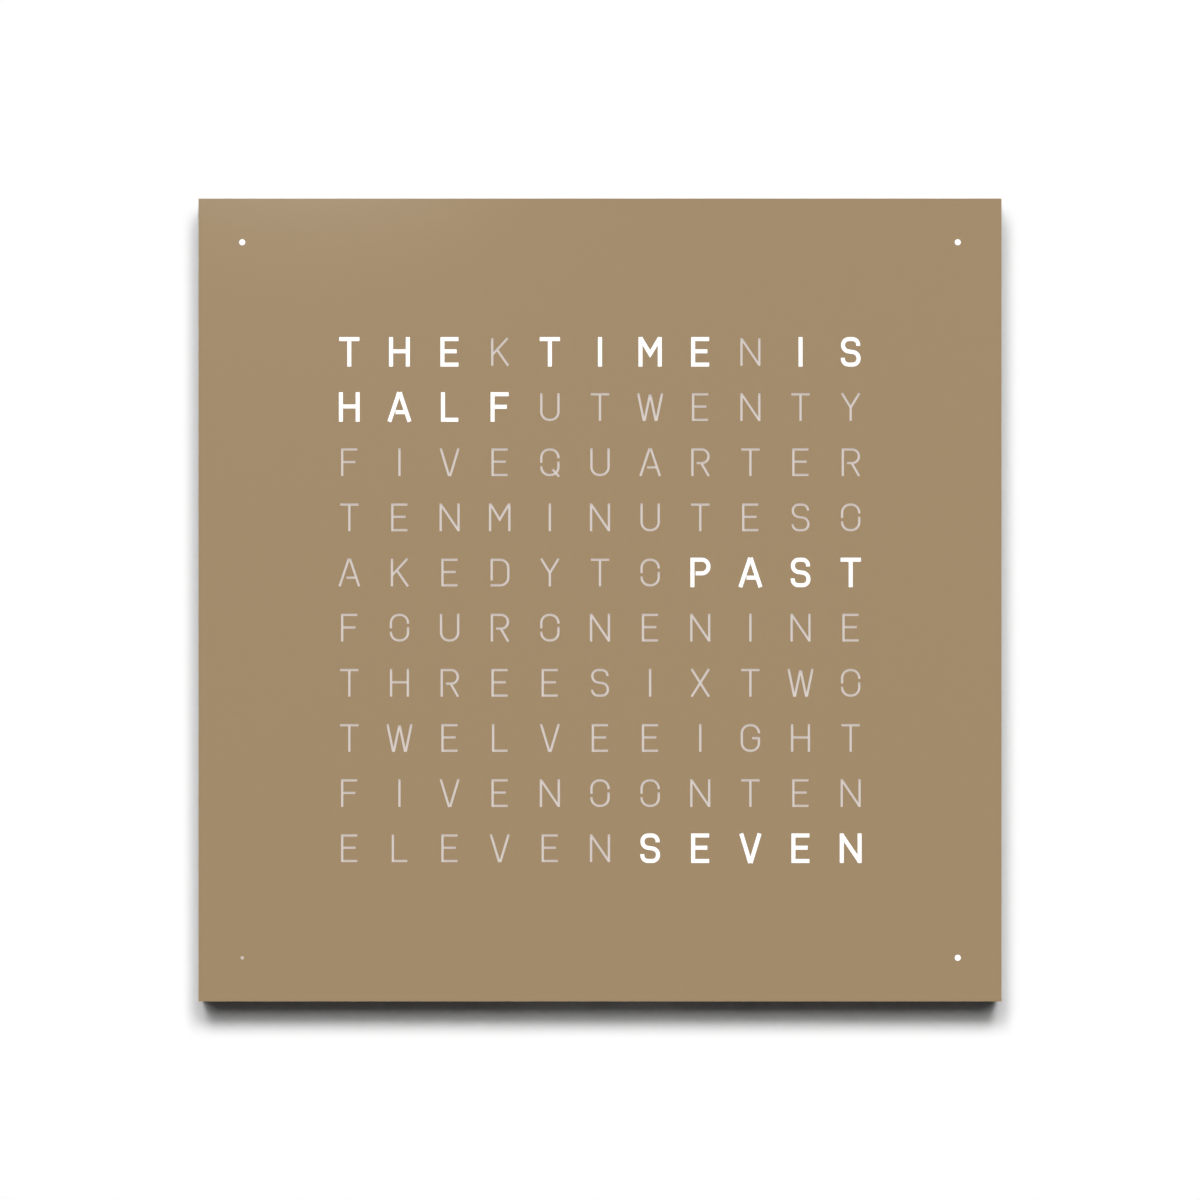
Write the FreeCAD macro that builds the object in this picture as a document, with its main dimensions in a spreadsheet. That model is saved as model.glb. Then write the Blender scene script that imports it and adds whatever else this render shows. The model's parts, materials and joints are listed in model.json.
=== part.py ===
"""Word clock: a square wall clock that lights words behind a plain front cover.

Frame: the origin is the middle of the rear face, on the wall. +Z is up, +X is to the right
as one faces the clock, and the front looks along -Y. "Level" below is the distance from the
wall, so level = -Y. All lengths are millimetres.
"""

import FreeCAD, Part
import os

import Sketcher

Vector = FreeCAD.Vector
Rotation = FreeCAD.Rotation

document = FreeCAD.newDocument("word_clock")


# ---------------------------------------------------------------------------
# Driving dimensions
# ---------------------------------------------------------------------------

DIMENSIONS = {
    # whole clock
    "cover_side": 450.0,  # front cover, square
    "depth": 20.0,  # wall to front surface
    "cover_t": 1.5,  # steel sheet
    "cover_edge": 0.5,  # rounding of the coated front edge
    "setback": 1.0,  # frame behind the cover's edge, all round
    "frame_edge": 0.8,  # bevel of the frame's rear edge
    "face_play": 0.3,  # side play of a part that drops into a recess
    # corner dots, one per minute
    "dot_inset": 24.5,  # dot to the cover's edges
    "dot_d": 2.0,
    "well_d": 7.0,  # light well behind each dot
    "dot_board_side": 14.0,
    "dot_board_play": 1.0,
    # diffuser sheet, glued behind the cover
    "diffuser_inset": 19.0,  # its edge behind the cover's edge
    "diffuser_t": 1.0,
    "diffuser_gap": 0.2,  # diffuser to light grid
    # letter field, a square of equal cells
    "columns": 11,
    "rows": 10,
    "field_inset": 70.45,  # field's side to the cover's edge
    # light grid, a moulded egg-crate
    "wall_t": 1.8,  # cell wall at its thin front edge
    "wall_draft": 1.5,  # degrees of mould draft on each cell wall
    "flange_lip": 11.05,  # beyond the grid, all round
    "flange_t": 1.6,
    # snap hooks behind the grid, which hold the LED board
    "hook_w": 8.0,
    "hook_t": 1.5,
    "hook_catch": 0.9,  # overhang behind the board
    "hook_nose": 1.8,  # height of the sloped nose
    "hook_play": 0.2,
    "hook_columns": 3,  # letter columns from hook to hook
    "hooks": 4,  # on each of the upper and lower walls
    # LED board and what sits on it
    "board_level": 8.0,  # wall to the LED board's front face
    "board_lip": 2.05,  # beyond the grid, all round
    "board_play": 0.5,
    "board_t": 1.6,
    "led_w": 3.5,
    "led_rise": 2.8,
    "led_t": 1.6,
    "sensor_side": 2.0,
    "sensor_t": 0.8,
    "sensor_column": 2,  # cell of the light sensor, from the left
    "sensor_row": 5,  # and from the top
    "sensor_shift": 7.0,  # beside the cell's LED
    "driver_w": 8.2,
    "driver_rise": 5.3,
    "driver_t": 1.7,
    "driver_pitch": 75.0,
    "driver_drop": 24.0,  # below the middle
    "drivers": 3,
    # leads from the LED board's corners to the corner dots
    "lead_w": 2.4,
    "lead_t": 1.2,
    "lead_play": 0.8,
    "lead_lap": 5.0,  # length soldered onto each board
    # self-tapping screws: shank, and head sunk or flat
    "screw_d": 2.6,
    "screw_play": 0.1,
    "screw_head_d": 5.4,
    "pan_head_d": 4.6,
    "pan_head_t": 1.4,
    "screw_len": 8.0,
    "pilot_spare": 1.0,  # pilot hole beyond the screw's tip
    # bar magnets that hold the cover
    "magnet_len": 12.0,
    "magnet_w": 6.0,
    "magnet_t": 3.0,
    "magnet_play": 0.1,
    "magnet_edge": 8.8,  # magnet's middle to the frame's edge
    "magnets": 2,  # per side
    # rear cover
    "rear_inset": 9.0,  # its edge inside the frame's edge
    "rear_t": 1.5,
    "rear_screw_edge": 7.0,
    "rear_screw_share": 0.625,  # spacing, as a share of the screws' square
    "rear_screws": 2,  # per side
    # keyholes and the pockets behind them
    "hang_inset": 65.0,  # keyhole to the rear cover's side edge
    "hang_drop": 30.0,  # round hole below the rear cover's upper edge
    "hang_hole_d": 9.0,
    "hang_slot_w": 4.6,
    "hang_slot_len": 10.0,
    "hang_pocket_w": 16.0,
    "hang_pocket_under": 7.0,  # pocket below the round hole's centre
    "hang_pocket_rise": 24.0,
    "hang_pocket_deep": 8.0,
    # controller bay at the bottom, with a ledge for the board at each side
    "bay_level": 14.5,  # wall to the bay's floor
    "bay_lap": 2.0,  # rear cover's lap below the bay
    "ledge_w": 8.0,
    "ledge_level": 5.4,  # wall to the ledges
    "cable_gap_w": 30.0,
    "cable_gap_level": 7.2,
    # controller board
    "controller_w": 98.0,
    "controller_play": 1.0,
    "controller_rise": 38.0,
    "controller_t": 1.6,
    "controller_edge": 2.8,  # board to the bay's lower wall
    "controller_spare": 3.2,  # and to its upper wall
    "controller_hole_edge": 3.5,
    "processor_side": 10.0,
    "processor_t": 1.4,
    "processor_inset": 25.0,  # chip's middle to the board's left edge
    "processor_up": 20.0,  # chips' centres above the board's lower edge
    "clock_chip_w": 5.0,
    "clock_chip_rise": 4.0,
    "clock_chip_t": 1.5,
    "clock_chip_gap": 18.0,  # middle to the battery holder's middle
    "crystal_w": 3.2,
    "crystal_rise": 6.2,
    "crystal_t": 2.1,
    "crystal_gap": 12.0,  # middle to the battery holder's middle
    "holder_w": 16.0,
    "holder_rise": 14.5,
    "holder_t": 3.6,
    "holder_inset": 18.0,  # middle to the board's right edge
    "cell_d": 12.5,
    "cell_t": 2.0,
    "cell_play": 0.2,
    # ribbon cable between the boards
    "cable_w": 20.0,
    "cable_t": 0.6,
    "cable_play": 0.1,
    "cable_lap": 3.0,  # ribbon inside each socket
    "socket_w": 24.0,
    "socket_rise": 5.0,
    "socket_t": 2.5,
    "socket_edge": 3.0,  # socket to its board's edge
    # power inlet
    "plug_hole_d": 11.0,
    "jack_w": 9.0,
    "jack_len": 13.5,
    "jack_tall": 8.5,
    "jack_gap": 0.3,  # jack's mouth to the bay's wall
    "jack_bore_d": 6.3,
    "jack_bore_len": 9.5,
    "jack_pin_d": 2.0,
    "jack_pin_len": 8.8,
    # moulded panel in the lower edge, with the plug hole and the key guides
    "panel_inset": 3.0,  # panel's end inside the board's end
    "panel_tall": 13.4,
    "panel_play": 0.2,
    "panel_t": 1.2,
    # push keys
    "key_inset": 13.0,  # outer pair, from the board's ends
    "key_pitch": 14.0,
    "key_w": 6.0,
    "key_tall": 3.2,
    "key_play": 0.2,
    "key_out": 1.4,  # proud of the frame
    "collar_w": 8.4,
    "collar_tall": 5.2,
    "collar_t": 1.0,
    "collar_gap": 0.2,
    "key_travel": 0.6,
    "switch_w": 6.0,
    "switch_len": 3.6,
    "switch_tall": 6.0,
    "stem_w": 3.0,
    "stem_tall": 1.6,
    "stem_play": 0.2,
    "stem_out": 2.4,
    "stem_in": 1.4,  # stem inside its switch
}

sheet = document.addObject("Spreadsheet::Sheet", "sizes")
for row, (alias, value) in enumerate(DIMENSIONS.items(), start=1):
    sheet.set(f"A{row}", alias)
    sheet.set(f"B{row}", str(value))
    sheet.setAlias(f"B{row}", alias)
document.recompute()


# ---------------------------------------------------------------------------
# Places that follow from the driving dimensions, as expressions
# ---------------------------------------------------------------------------

# levels, from the wall forwards
REAR_FLOOR = "sizes.rear_t"
BOARD_FRONT = "sizes.board_level"
BOARD_BACK = "(sizes.board_level - sizes.board_t)"
COVER_BACK = "(sizes.depth - sizes.cover_t)"
DIFFUSER_BACK = f"({COVER_BACK} - sizes.diffuser_t)"
GRID_FRONT = f"({DIFFUSER_BACK} - sizes.diffuser_gap)"
FLANGE_BACK = f"({GRID_FRONT} - sizes.flange_t)"
CONTROLLER_FRONT = "sizes.ledge_level"
CONTROLLER_BACK = f"({CONTROLLER_FRONT} - sizes.controller_t)"
CABLE_MIDDLE = f"(({BOARD_BACK} + {CONTROLLER_FRONT}) / 2)"
JACK_LEVEL = f"({CONTROLLER_FRONT} + sizes.jack_tall / 2)"
KEY_LEVEL = f"({CONTROLLER_FRONT} + sizes.switch_tall / 2)"

# widths
FRAME_SIDE = "(sizes.cover_side - 2 * sizes.setback)"
DIFFUSER_SIDE = "(sizes.cover_side - 2 * sizes.diffuser_inset)"
FIELD_SIDE = "(sizes.cover_side - 2 * sizes.field_inset)"
COLUMN_PITCH = f"({FIELD_SIDE} / sizes.columns)"
ROW_PITCH = f"({FIELD_SIDE} / sizes.rows)"
GRID_SIDE = f"({FIELD_SIDE} + sizes.wall_t)"
FLANGE_SIDE = f"({GRID_SIDE} + 2 * sizes.flange_lip)"
FLANGE_RECESS = f"({FLANGE_SIDE} + 2 * sizes.face_play)"
BOARD_SIDE = f"({GRID_SIDE} + 2 * sizes.board_lip)"
CAVITY_SIDE = f"({BOARD_SIDE} + 2 * sizes.board_play)"
REAR_SIDE = f"({FRAME_SIDE} - 2 * sizes.rear_inset)"
PANEL_W = "(sizes.controller_w - 2 * sizes.panel_inset)"
SCREW_HOLE_D = "(sizes.screw_d + 2 * sizes.screw_play)"
SCREW_SINK_D = "(sizes.screw_head_d + 2 * sizes.screw_play)"
BAY_W = "(sizes.controller_w + 2 * sizes.controller_play)"

# places across (X), from the clock's middle
DOT_REACH = "(sizes.cover_side / 2 - sizes.dot_inset)"
HANG_REACH = f"({REAR_SIDE} / 2 - sizes.hang_inset)"
OUTER_KEY = "(sizes.controller_w / 2 - sizes.key_inset)"
INNER_KEY = f"({OUTER_KEY} - sizes.key_pitch)"
HOLDER_X = "(sizes.controller_w / 2 - sizes.holder_inset)"
HANGERS = {"left": f"(-{HANG_REACH})", "right": HANG_REACH}
CORNER = (f"(-{DOT_REACH})", f"(-{DOT_REACH})")

# heights (Z), from the clock's middle
FRAME_FOOT = f"(-{FRAME_SIDE} / 2)"
HANG_UP = f"({REAR_SIDE} / 2 - sizes.hang_drop)"
BAY_RISE = "(sizes.controller_edge + sizes.controller_rise + sizes.controller_spare)"
BAY_FOOT = f"(sizes.bay_lap - {REAR_SIDE} / 2)"
BAY_TOP = f"({BAY_FOOT} + {BAY_RISE})"
CONTROLLER_FOOT = f"({BAY_FOOT} + sizes.controller_edge)"
CONTROLLER_TOP = f"({CONTROLLER_FOOT} + sizes.controller_rise)"
CONTROLLER_MIDDLE = f"({CONTROLLER_FOOT} + sizes.controller_rise / 2)"
CHIP_LINE = f"({CONTROLLER_FOOT} + sizes.processor_up)"
JACK_MOUTH = f"({BAY_FOOT} + sizes.jack_gap)"
COLLAR_FOOT = f"({BAY_FOOT} + sizes.collar_gap)"
STEM_TIP = f"({COLLAR_FOOT} + sizes.collar_t)"
SWITCH_FACE = f"({STEM_TIP} + sizes.stem_out)"

# rings of magnets and screws: half the side of the square that they stand on
MAGNET_RING = f"({FRAME_SIDE} / 2 - sizes.magnet_edge)"
REAR_RING = f"({REAR_SIDE} / 2 - sizes.rear_screw_edge)"
REAR_SPAN = f"(2 * {REAR_RING} * sizes.rear_screw_share * (sizes.rear_screws - 1))"
MAGNET_SPAN = f"({MAGNET_RING} * 2 * (sizes.magnets - 1) / sizes.magnets)"

# first cell (lower left)
CELL_X = f"(-{COLUMN_PITCH} * (sizes.columns - 1) / 2)"
CELL_Z = f"(-{ROW_PITCH} * (sizes.rows - 1) / 2)"

# snap hooks: the outer face of their wall, and the notch that lets each through the board
HOOK_FACE = f"(-{GRID_SIDE} / 2)"
HOOK_SPAN = f"({COLUMN_PITCH} * sizes.hook_columns * (sizes.hooks - 1))"
HOOK_X = f"(-{HOOK_SPAN} / 2)"
NOTCH_TOP = f"({HOOK_FACE} + sizes.hook_t + sizes.hook_play)"


# ---------------------------------------------------------------------------
# Helpers
# ---------------------------------------------------------------------------

bodies = []


def new_body(label, pieces=1):
    """A sub-part. One with more than one piece holds that many separate solids."""
    body = document.addObject("PartDesign::Body", label)
    body.Label = label
    body.AllowCompound = pieces > 1
    body.Placement = FreeCAD.Placement()
    bodies.append((body, pieces))
    return body


def origin(body, role):
    return [item for item in body.Origin.OriginFeatures if item.Role == role][0]


def new_sketch(body, name, level, turn=0.0):
    """A sketch parallel to the wall, seen from the front: x is X and y is Z."""
    sketch = body.newObject("Sketcher::SketchObject", f"{body.Name}_{name}")
    sketch.AttachmentSupport = (origin(body, "XZ_Plane"), [""])
    sketch.MapMode = "FlatFace"
    sketch.AttachmentOffset = FreeCAD.Placement(Vector(), Rotation(Vector(0, 0, 1), turn))
    sketch.setExpression("AttachmentOffset.Base.z", level)
    return sketch


def new_floor_sketch(body, name, height):
    """A sketch parallel to the floor, seen from above: x is X and y is minus the level."""
    sketch = body.newObject("Sketcher::SketchObject", f"{body.Name}_{name}")
    sketch.AttachmentSupport = (origin(body, "XY_Plane"), [""])
    sketch.MapMode = "FlatFace"
    sketch.setExpression("AttachmentOffset.Base.z", height)
    return sketch


def new_side_sketch(body, name, across):
    """A sketch square to both, seen from the right: x is minus the level and y is Z."""
    sketch = body.newObject("Sketcher::SketchObject", f"{body.Name}_{name}")
    sketch.AttachmentSupport = (origin(body, "YZ_Plane"), [""])
    sketch.MapMode = "FlatFace"
    sketch.setExpression("AttachmentOffset.Base.z", across)
    return sketch


def bind(sketch, kind, references, name, value):
    number = sketch.addConstraint(Sketcher.Constraint(kind, *references, 1.0))
    sketch.renameConstraint(number, name)
    sketch.setExpression(f"Constraints.{name}", value)


def closed_lines(sketch, corners):
    """Straight sides through the corners. Returns the first side's number."""
    first = sketch.GeometryCount
    count = len(corners)
    for side in range(count):
        sketch.addGeometry(Part.LineSegment(corners[side], corners[(side + 1) % count]))
    for side in range(count):
        following = first + (side + 1) % count
        sketch.addConstraint(Sketcher.Constraint("Coincident", first + side, 2, following, 1))
    return first


def rectangle(sketch, name, width, height, x="0", y="0"):
    """A rectangle about the centre x, y."""
    corners = [Vector(-1, -1, 0), Vector(1, -1, 0), Vector(1, 1, 0), Vector(-1, 1, 0)]
    first = closed_lines(sketch, corners)
    for side in range(4):
        lie = "Horizontal" if side % 2 == 0 else "Vertical"
        sketch.addConstraint(Sketcher.Constraint(lie, first + side))
    bind(sketch, "DistanceX", (first, 1, first, 2), f"{name}_width", width)
    bind(sketch, "DistanceY", (first + 1, 1, first + 1, 2), f"{name}_height", height)
    bind(sketch, "DistanceX", (-1, 1, first, 1), f"{name}_left", f"({x}) - ({width}) / 2")
    bind(sketch, "DistanceY", (-1, 1, first, 1), f"{name}_foot", f"({y}) - ({height}) / 2")


def polygon(sketch, name, points):
    """Straight sides through points that are each an expression for x and one for y."""
    turns = [Rotation(Vector(0, 0, 1), 360 * n / len(points)) for n in range(len(points))]
    first = closed_lines(sketch, [turn.multVec(Vector(1, 0, 0)) for turn in turns])
    for number, (x, y) in enumerate(points):
        bind(sketch, "DistanceX", (-1, 1, first + number, 1), f"{name}_x{number}", x)
        bind(sketch, "DistanceY", (-1, 1, first + number, 1), f"{name}_y{number}", y)


def circle(sketch, name, diameter, x="0", y="0"):
    ring = sketch.addGeometry(Part.Circle(Vector(), Vector(0, 0, 1), 1.0))
    bind(sketch, "DistanceX", (-1, 1, ring, 3), f"{name}_x", x)
    bind(sketch, "DistanceY", (-1, 1, ring, 3), f"{name}_y", y)
    bind(sketch, "Diameter", (ring,), f"{name}_d", diameter)


def pad(body, sketch, length, taper="0", backwards=False, refine=False):
    """Material added forwards, upwards or to the right of its sketch."""
    feature = body.newObject("PartDesign::Pad", f"{sketch.Name}_pad")
    feature.Profile = sketch
    feature.Reversed = backwards
    feature.Refine = refine
    feature.setExpression("Length", length)
    feature.setExpression("TaperAngle", taper)
    return feature


def pocket(body, sketch, length, taper="0", forwards=False):
    """Material cut towards the wall or downwards; forwards turns the cut round."""
    feature = body.newObject("PartDesign::Pocket", f"{sketch.Name}_pocket")
    feature.Profile = sketch
    feature.Reversed = forwards
    feature.Refine = False
    feature.setExpression("Length", length)
    feature.setExpression("TaperAngle", taper)
    return feature


def row(body, axis, length, count):
    """A step of a pattern: copies spread over a length."""
    step = document.addObject("PartDesign::LinearPattern", f"{body.Name}_row")
    step.Direction = (origin(body, axis), [""])
    step.setExpression("Length", length)
    step.setExpression("Occurrences", count)
    return step


def turns(body, count):
    """A step of a pattern: copies turned about the axis from the wall to the front."""
    step = document.addObject("PartDesign::PolarPattern", f"{body.Name}_turns")
    step.Axis = (origin(body, "Y_Axis"), [""])
    step.Angle = 360
    step.Occurrences = count
    return step


def repeat(body, name, features, *steps):
    """The features copied by each step in turn."""
    pattern = body.newObject("PartDesign::MultiTransform", f"{body.Name}_{name}")
    pattern.Originals = features
    pattern.Transformations = steps
    pattern.Refine = False
    body.Tip = pattern


def block(label, pieces, width, height, thickness, level, x="0", z="0"):
    """A plain rectangular piece whose rear face lies at the level."""
    body = new_body(label, pieces)
    outline = new_sketch(body, "outline", level)
    rectangle(outline, "side", width, height, x, z)
    return body, pad(body, outline, thickness)


def outer_edges(feature, direction, place):
    """Names of the feature's edges in one plane: where the point's part along a direction
    equals a number."""
    names = []
    for number, edge in enumerate(feature.Shape.Edges, start=1):
        ends = [vertex.Point.dot(direction) for vertex in edge.Vertexes]
        if all(abs(end - place) < 1e-6 for end in ends):
            names.append(f"Edge{number}")
    return names


FORWARDS = Vector(0, -1, 0)


# ---------------------------------------------------------------------------
# Cover and diffuser
# ---------------------------------------------------------------------------

def make_front_cover():
    """Coated steel sheet. The letters are cut through it between the four corner dots."""
    body, plate = block(
        "front_cover", 1, "sizes.cover_side", "sizes.cover_side", "sizes.cover_t", COVER_BACK
    )
    document.recompute()
    edge = body.newObject("PartDesign::Fillet", "front_cover_edge")
    edge.Base = (plate, outer_edges(plate, FORWARDS, sheet.get("depth")))
    edge.setExpression("Radius", "sizes.cover_edge")
    dot = new_sketch(body, "dot", "sizes.depth")
    circle(dot, "dot", "sizes.dot_d", *CORNER)
    repeat(body, "dots", [pocket(body, dot, "sizes.cover_t")], turns(body, 4))


def make_diffuser_sheet():
    """Opal sheet glued behind the cover. It drops into the frame and so centres the cover."""
    size = (DIFFUSER_SIDE, DIFFUSER_SIDE, "sizes.diffuser_t")
    block("diffuser_sheet", 1, *size, DIFFUSER_BACK)


# ---------------------------------------------------------------------------
# Frame
# ---------------------------------------------------------------------------

def cut_front(body):
    """Recess for the diffuser, rebate for the grid's flange and the opening for the grid."""
    recess = new_sketch(body, "recess", COVER_BACK)
    side = f"({DIFFUSER_SIDE} + 2 * sizes.face_play)"
    rectangle(recess, "side", side, side)
    pocket(body, recess, f"{COVER_BACK} - {GRID_FRONT}")
    rebate = new_sketch(body, "rebate", GRID_FRONT)
    rectangle(rebate, "side", FLANGE_RECESS, FLANGE_RECESS)
    pocket(body, rebate, "sizes.flange_t")
    cavity = new_sketch(body, "cavity", FLANGE_BACK)
    rectangle(cavity, "side", CAVITY_SIDE, CAVITY_SIDE)
    pocket(body, cavity, FLANGE_BACK)


def cut_rear(body):
    """Rebate for the rear cover and a pocket behind each keyhole, where the head of the
    wall screw slides up."""
    rebate = new_sketch(body, "rear", "0")
    side = f"({REAR_SIDE} + 2 * sizes.face_play)"
    rectangle(rebate, "side", side, side)
    pocket(body, rebate, "sizes.rear_t", forwards=True)
    hanger = new_sketch(body, "hanger", REAR_FLOOR)
    middle = f"{HANG_UP} - sizes.hang_pocket_under + sizes.hang_pocket_rise / 2"
    for hand, x in HANGERS.items():
        rectangle(hanger, hand, "sizes.hang_pocket_w", "sizes.hang_pocket_rise", x, middle)
    pocket(body, hanger, "sizes.hang_pocket_deep", forwards=True)


def cut_controller_bay(body):
    """The bay for the controller with a ledge at each side, its gap for the ribbon, the
    window in its lower wall and the pilot holes in the ledges."""
    middle = f"{BAY_FOOT} + {BAY_RISE} / 2"
    ledges = new_sketch(body, "ledges", REAR_FLOOR)
    rectangle(ledges, "side", BAY_W, BAY_RISE, "0", middle)
    pocket(body, ledges, f"sizes.ledge_level - {REAR_FLOOR}", forwards=True)
    bay = new_sketch(body, "bay", "sizes.ledge_level")
    rectangle(bay, "side", f"{BAY_W} - 2 * sizes.ledge_w", BAY_RISE, "0", middle)
    pocket(body, bay, "sizes.bay_level - sizes.ledge_level", forwards=True)
    gap = new_sketch(body, "cable_gap", REAR_FLOOR)
    rise = f"(-{CAVITY_SIDE} / 2 - {BAY_TOP})"
    rectangle(gap, "side", "sizes.cable_gap_w", rise, "0", f"{BAY_TOP} + {rise} / 2")
    pocket(body, gap, f"sizes.cable_gap_level - {REAR_FLOOR}", forwards=True)
    window = new_floor_sketch(body, "window", BAY_FOOT)
    size = (f"{PANEL_W} + 2 * sizes.panel_play", "sizes.panel_tall + 2 * sizes.panel_play")
    rectangle(window, "side", *size, "0", f"-{JACK_LEVEL}")
    pocket(body, window, f"{BAY_FOOT} - {FRAME_FOOT}")
    pilots = new_sketch(body, "controller_pilot", "sizes.ledge_level")
    for hand, x in CONTROLLER_HOLES.items():
        circle(pilots, hand, SCREW_HOLE_D, x, CONTROLLER_MIDDLE)
    depth = "sizes.screw_len - sizes.controller_t + sizes.pilot_spare"
    pocket(body, pilots, depth, forwards=True)


CONTROLLER_HOLES = {
    "left": "(sizes.controller_hole_edge - sizes.controller_w / 2)",
    "right": "(sizes.controller_w / 2 - sizes.controller_hole_edge)",
}


def cut_corner_wells(body):
    """A light well, a rear pocket for its board and a groove for its lead at each corner."""
    well = new_sketch(body, "well", GRID_FRONT)
    circle(well, "well", "sizes.well_d", *CORNER)
    shaft = pocket(body, well, f"{GRID_FRONT} - {BOARD_FRONT}")
    seat = new_sketch(body, "seat", REAR_FLOOR)
    side = "(sizes.dot_board_side + 2 * sizes.dot_board_play)"
    rectangle(seat, "side", side, side, *CORNER)
    bed = pocket(body, seat, f"{BOARD_FRONT} - {REAR_FLOOR}", forwards=True)
    groove = new_sketch(body, "groove", REAR_FLOOR, turn=45.0)
    width = "(sizes.lead_w + 2 * sizes.lead_play)"
    start = f"({CAVITY_SIDE} / 2 * sqrt(2) - {width})"
    length = f"({DOT_REACH} * sqrt(2) - {start})"
    rectangle(groove, "side", length, width, f"-{start} - {length} / 2")
    run = pocket(body, groove, f"{BOARD_BACK} - {REAR_FLOOR}", forwards=True)
    repeat(body, "corners", [shaft, bed, run], turns(body, 4))


def cut_sides(body):
    """Magnet pockets and the pilot holes of the rear cover's screws, alike on each side."""
    magnet = new_sketch(body, "magnet", COVER_BACK)
    size = ("sizes.magnet_len + 2 * sizes.magnet_play", "sizes.magnet_w + 2 * sizes.magnet_play")
    rectangle(magnet, "bar", *size, f"-{MAGNET_SPAN} / 2", f"-{MAGNET_RING}")
    cup = pocket(body, magnet, "sizes.magnet_t + sizes.magnet_play")
    across = row(body, "X_Axis", MAGNET_SPAN, "sizes.magnets")
    repeat(body, "magnets", [cup], across, turns(body, 4))
    pilot = new_sketch(body, "rear_pilot", REAR_FLOOR)
    circle(pilot, "pilot", SCREW_HOLE_D, f"-{REAR_SPAN} / 2", f"-{REAR_RING}")
    depth = "sizes.screw_len - sizes.rear_t + sizes.pilot_spare"
    bite = pocket(body, pilot, depth, forwards=True)
    across = row(body, "X_Axis", REAR_SPAN, "sizes.rear_screws")
    repeat(body, "rear_pilots", [bite], across, turns(body, 4))


def make_body_frame():
    """Lacquered fibreboard slab that holds everything between the cover and the wall."""
    body, slab = block("body_frame", 1, FRAME_SIDE, FRAME_SIDE, COVER_BACK, "0")
    document.recompute()
    bevel = body.newObject("PartDesign::Chamfer", "body_frame_bevel")
    bevel.Base = (slab, outer_edges(slab, FORWARDS, 0.0))
    bevel.setExpression("Size", "sizes.frame_edge")
    cut_front(body)
    cut_rear(body)
    cut_controller_bay(body)
    cut_corner_wells(body)
    cut_sides(body)


def make_cover_magnets():
    size = ("sizes.magnet_len", "sizes.magnet_w", "sizes.magnet_t")
    place = (f"{COVER_BACK} - sizes.magnet_t", f"-{MAGNET_SPAN} / 2", f"-{MAGNET_RING}")
    body, bar = block("cover_magnets", 4 * DIMENSIONS["magnets"], *size, *place)
    across = row(body, "X_Axis", MAGNET_SPAN, "sizes.magnets")
    repeat(body, "ring", [bar], across, turns(body, 4))


# ---------------------------------------------------------------------------
# Light grid
# ---------------------------------------------------------------------------

def add_snap_hooks(body):
    """Hooks that reach through notches in the LED board and catch behind it. Each has a
    sloped nose so that the board can be pressed on."""
    catch = f"({BOARD_BACK} - sizes.hook_play)"
    tip = f"({catch} - sizes.hook_nose)"
    inner = f"({HOOK_FACE} + sizes.hook_t)"
    hook = new_side_sketch(body, "hook", f"{HOOK_X} - sizes.hook_w / 2")
    points = [
        (f"-{BOARD_FRONT}", HOOK_FACE),
        (f"-{BOARD_FRONT}", inner),
        (f"-{catch}", inner),
        (f"-{catch}", f"{inner} + sizes.hook_catch"),
        (f"-{tip}", inner),
        (f"-{tip}", HOOK_FACE),
    ]
    polygon(hook, "nose", points)
    spring = pad(body, hook, "sizes.hook_w")
    across = row(body, "X_Axis", HOOK_SPAN, "sizes.hooks")
    repeat(body, "hooks", [spring], across, turns(body, 2))


def make_light_grid():
    """Moulded white egg-crate: a cell with drafted walls behind each letter, a flange round
    the front that is glued into the frame's rebate, and snap hooks for the LED board."""
    depth = f"({GRID_FRONT} - {BOARD_FRONT})"
    body, slab = block("light_grid", 1, GRID_SIDE, GRID_SIDE, depth, BOARD_FRONT)
    rim = new_sketch(body, "flange", FLANGE_BACK)
    rectangle(rim, "side", FLANGE_SIDE, FLANGE_SIDE)
    pad(body, rim, "sizes.flange_t", refine=True)
    add_snap_hooks(body)
    mouth = new_sketch(body, "cell", GRID_FRONT)
    width = f"{COLUMN_PITCH} - sizes.wall_t"
    rise = f"{ROW_PITCH} - sizes.wall_t"
    rectangle(mouth, "side", width, rise, CELL_X, CELL_Z)
    cell = pocket(body, mouth, depth, "-sizes.wall_draft")
    repeat(body, "cells", [cell], *cell_rows(body))


def cell_rows(body):
    across = row(body, "X_Axis", f"{COLUMN_PITCH} * (sizes.columns - 1)", "sizes.columns")
    up = row(body, "Z_Axis", f"{ROW_PITCH} * (sizes.rows - 1)", "sizes.rows")
    return across, up


# ---------------------------------------------------------------------------
# LED board
# ---------------------------------------------------------------------------

def make_led_board():
    """Circuit board behind the grid, notched for the grid's hooks."""
    size = (BOARD_SIDE, BOARD_SIDE, "sizes.board_t")
    body, board = block("led_board", 1, *size, BOARD_BACK)
    notch = new_sketch(body, "notch", BOARD_FRONT)
    height = f"({NOTCH_TOP} + {BOARD_SIDE} / 2)"
    place = (HOOK_X, f"{NOTCH_TOP} - {height} / 2")
    rectangle(notch, "side", "sizes.hook_w + 2 * sizes.hook_play", height, *place)
    cut = pocket(body, notch, "sizes.board_t")
    across = row(body, "X_Axis", HOOK_SPAN, "sizes.hooks")
    repeat(body, "notches", [cut], across, turns(body, 2))


def make_letter_leds():
    """One white LED in the middle of each cell."""
    pieces = DIMENSIONS["columns"] * DIMENSIONS["rows"]
    size = ("sizes.led_w", "sizes.led_rise", "sizes.led_t")
    body, led = block("letter_leds", pieces, *size, BOARD_FRONT, CELL_X, CELL_Z)
    repeat(body, "set", [led], *cell_rows(body))


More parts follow.
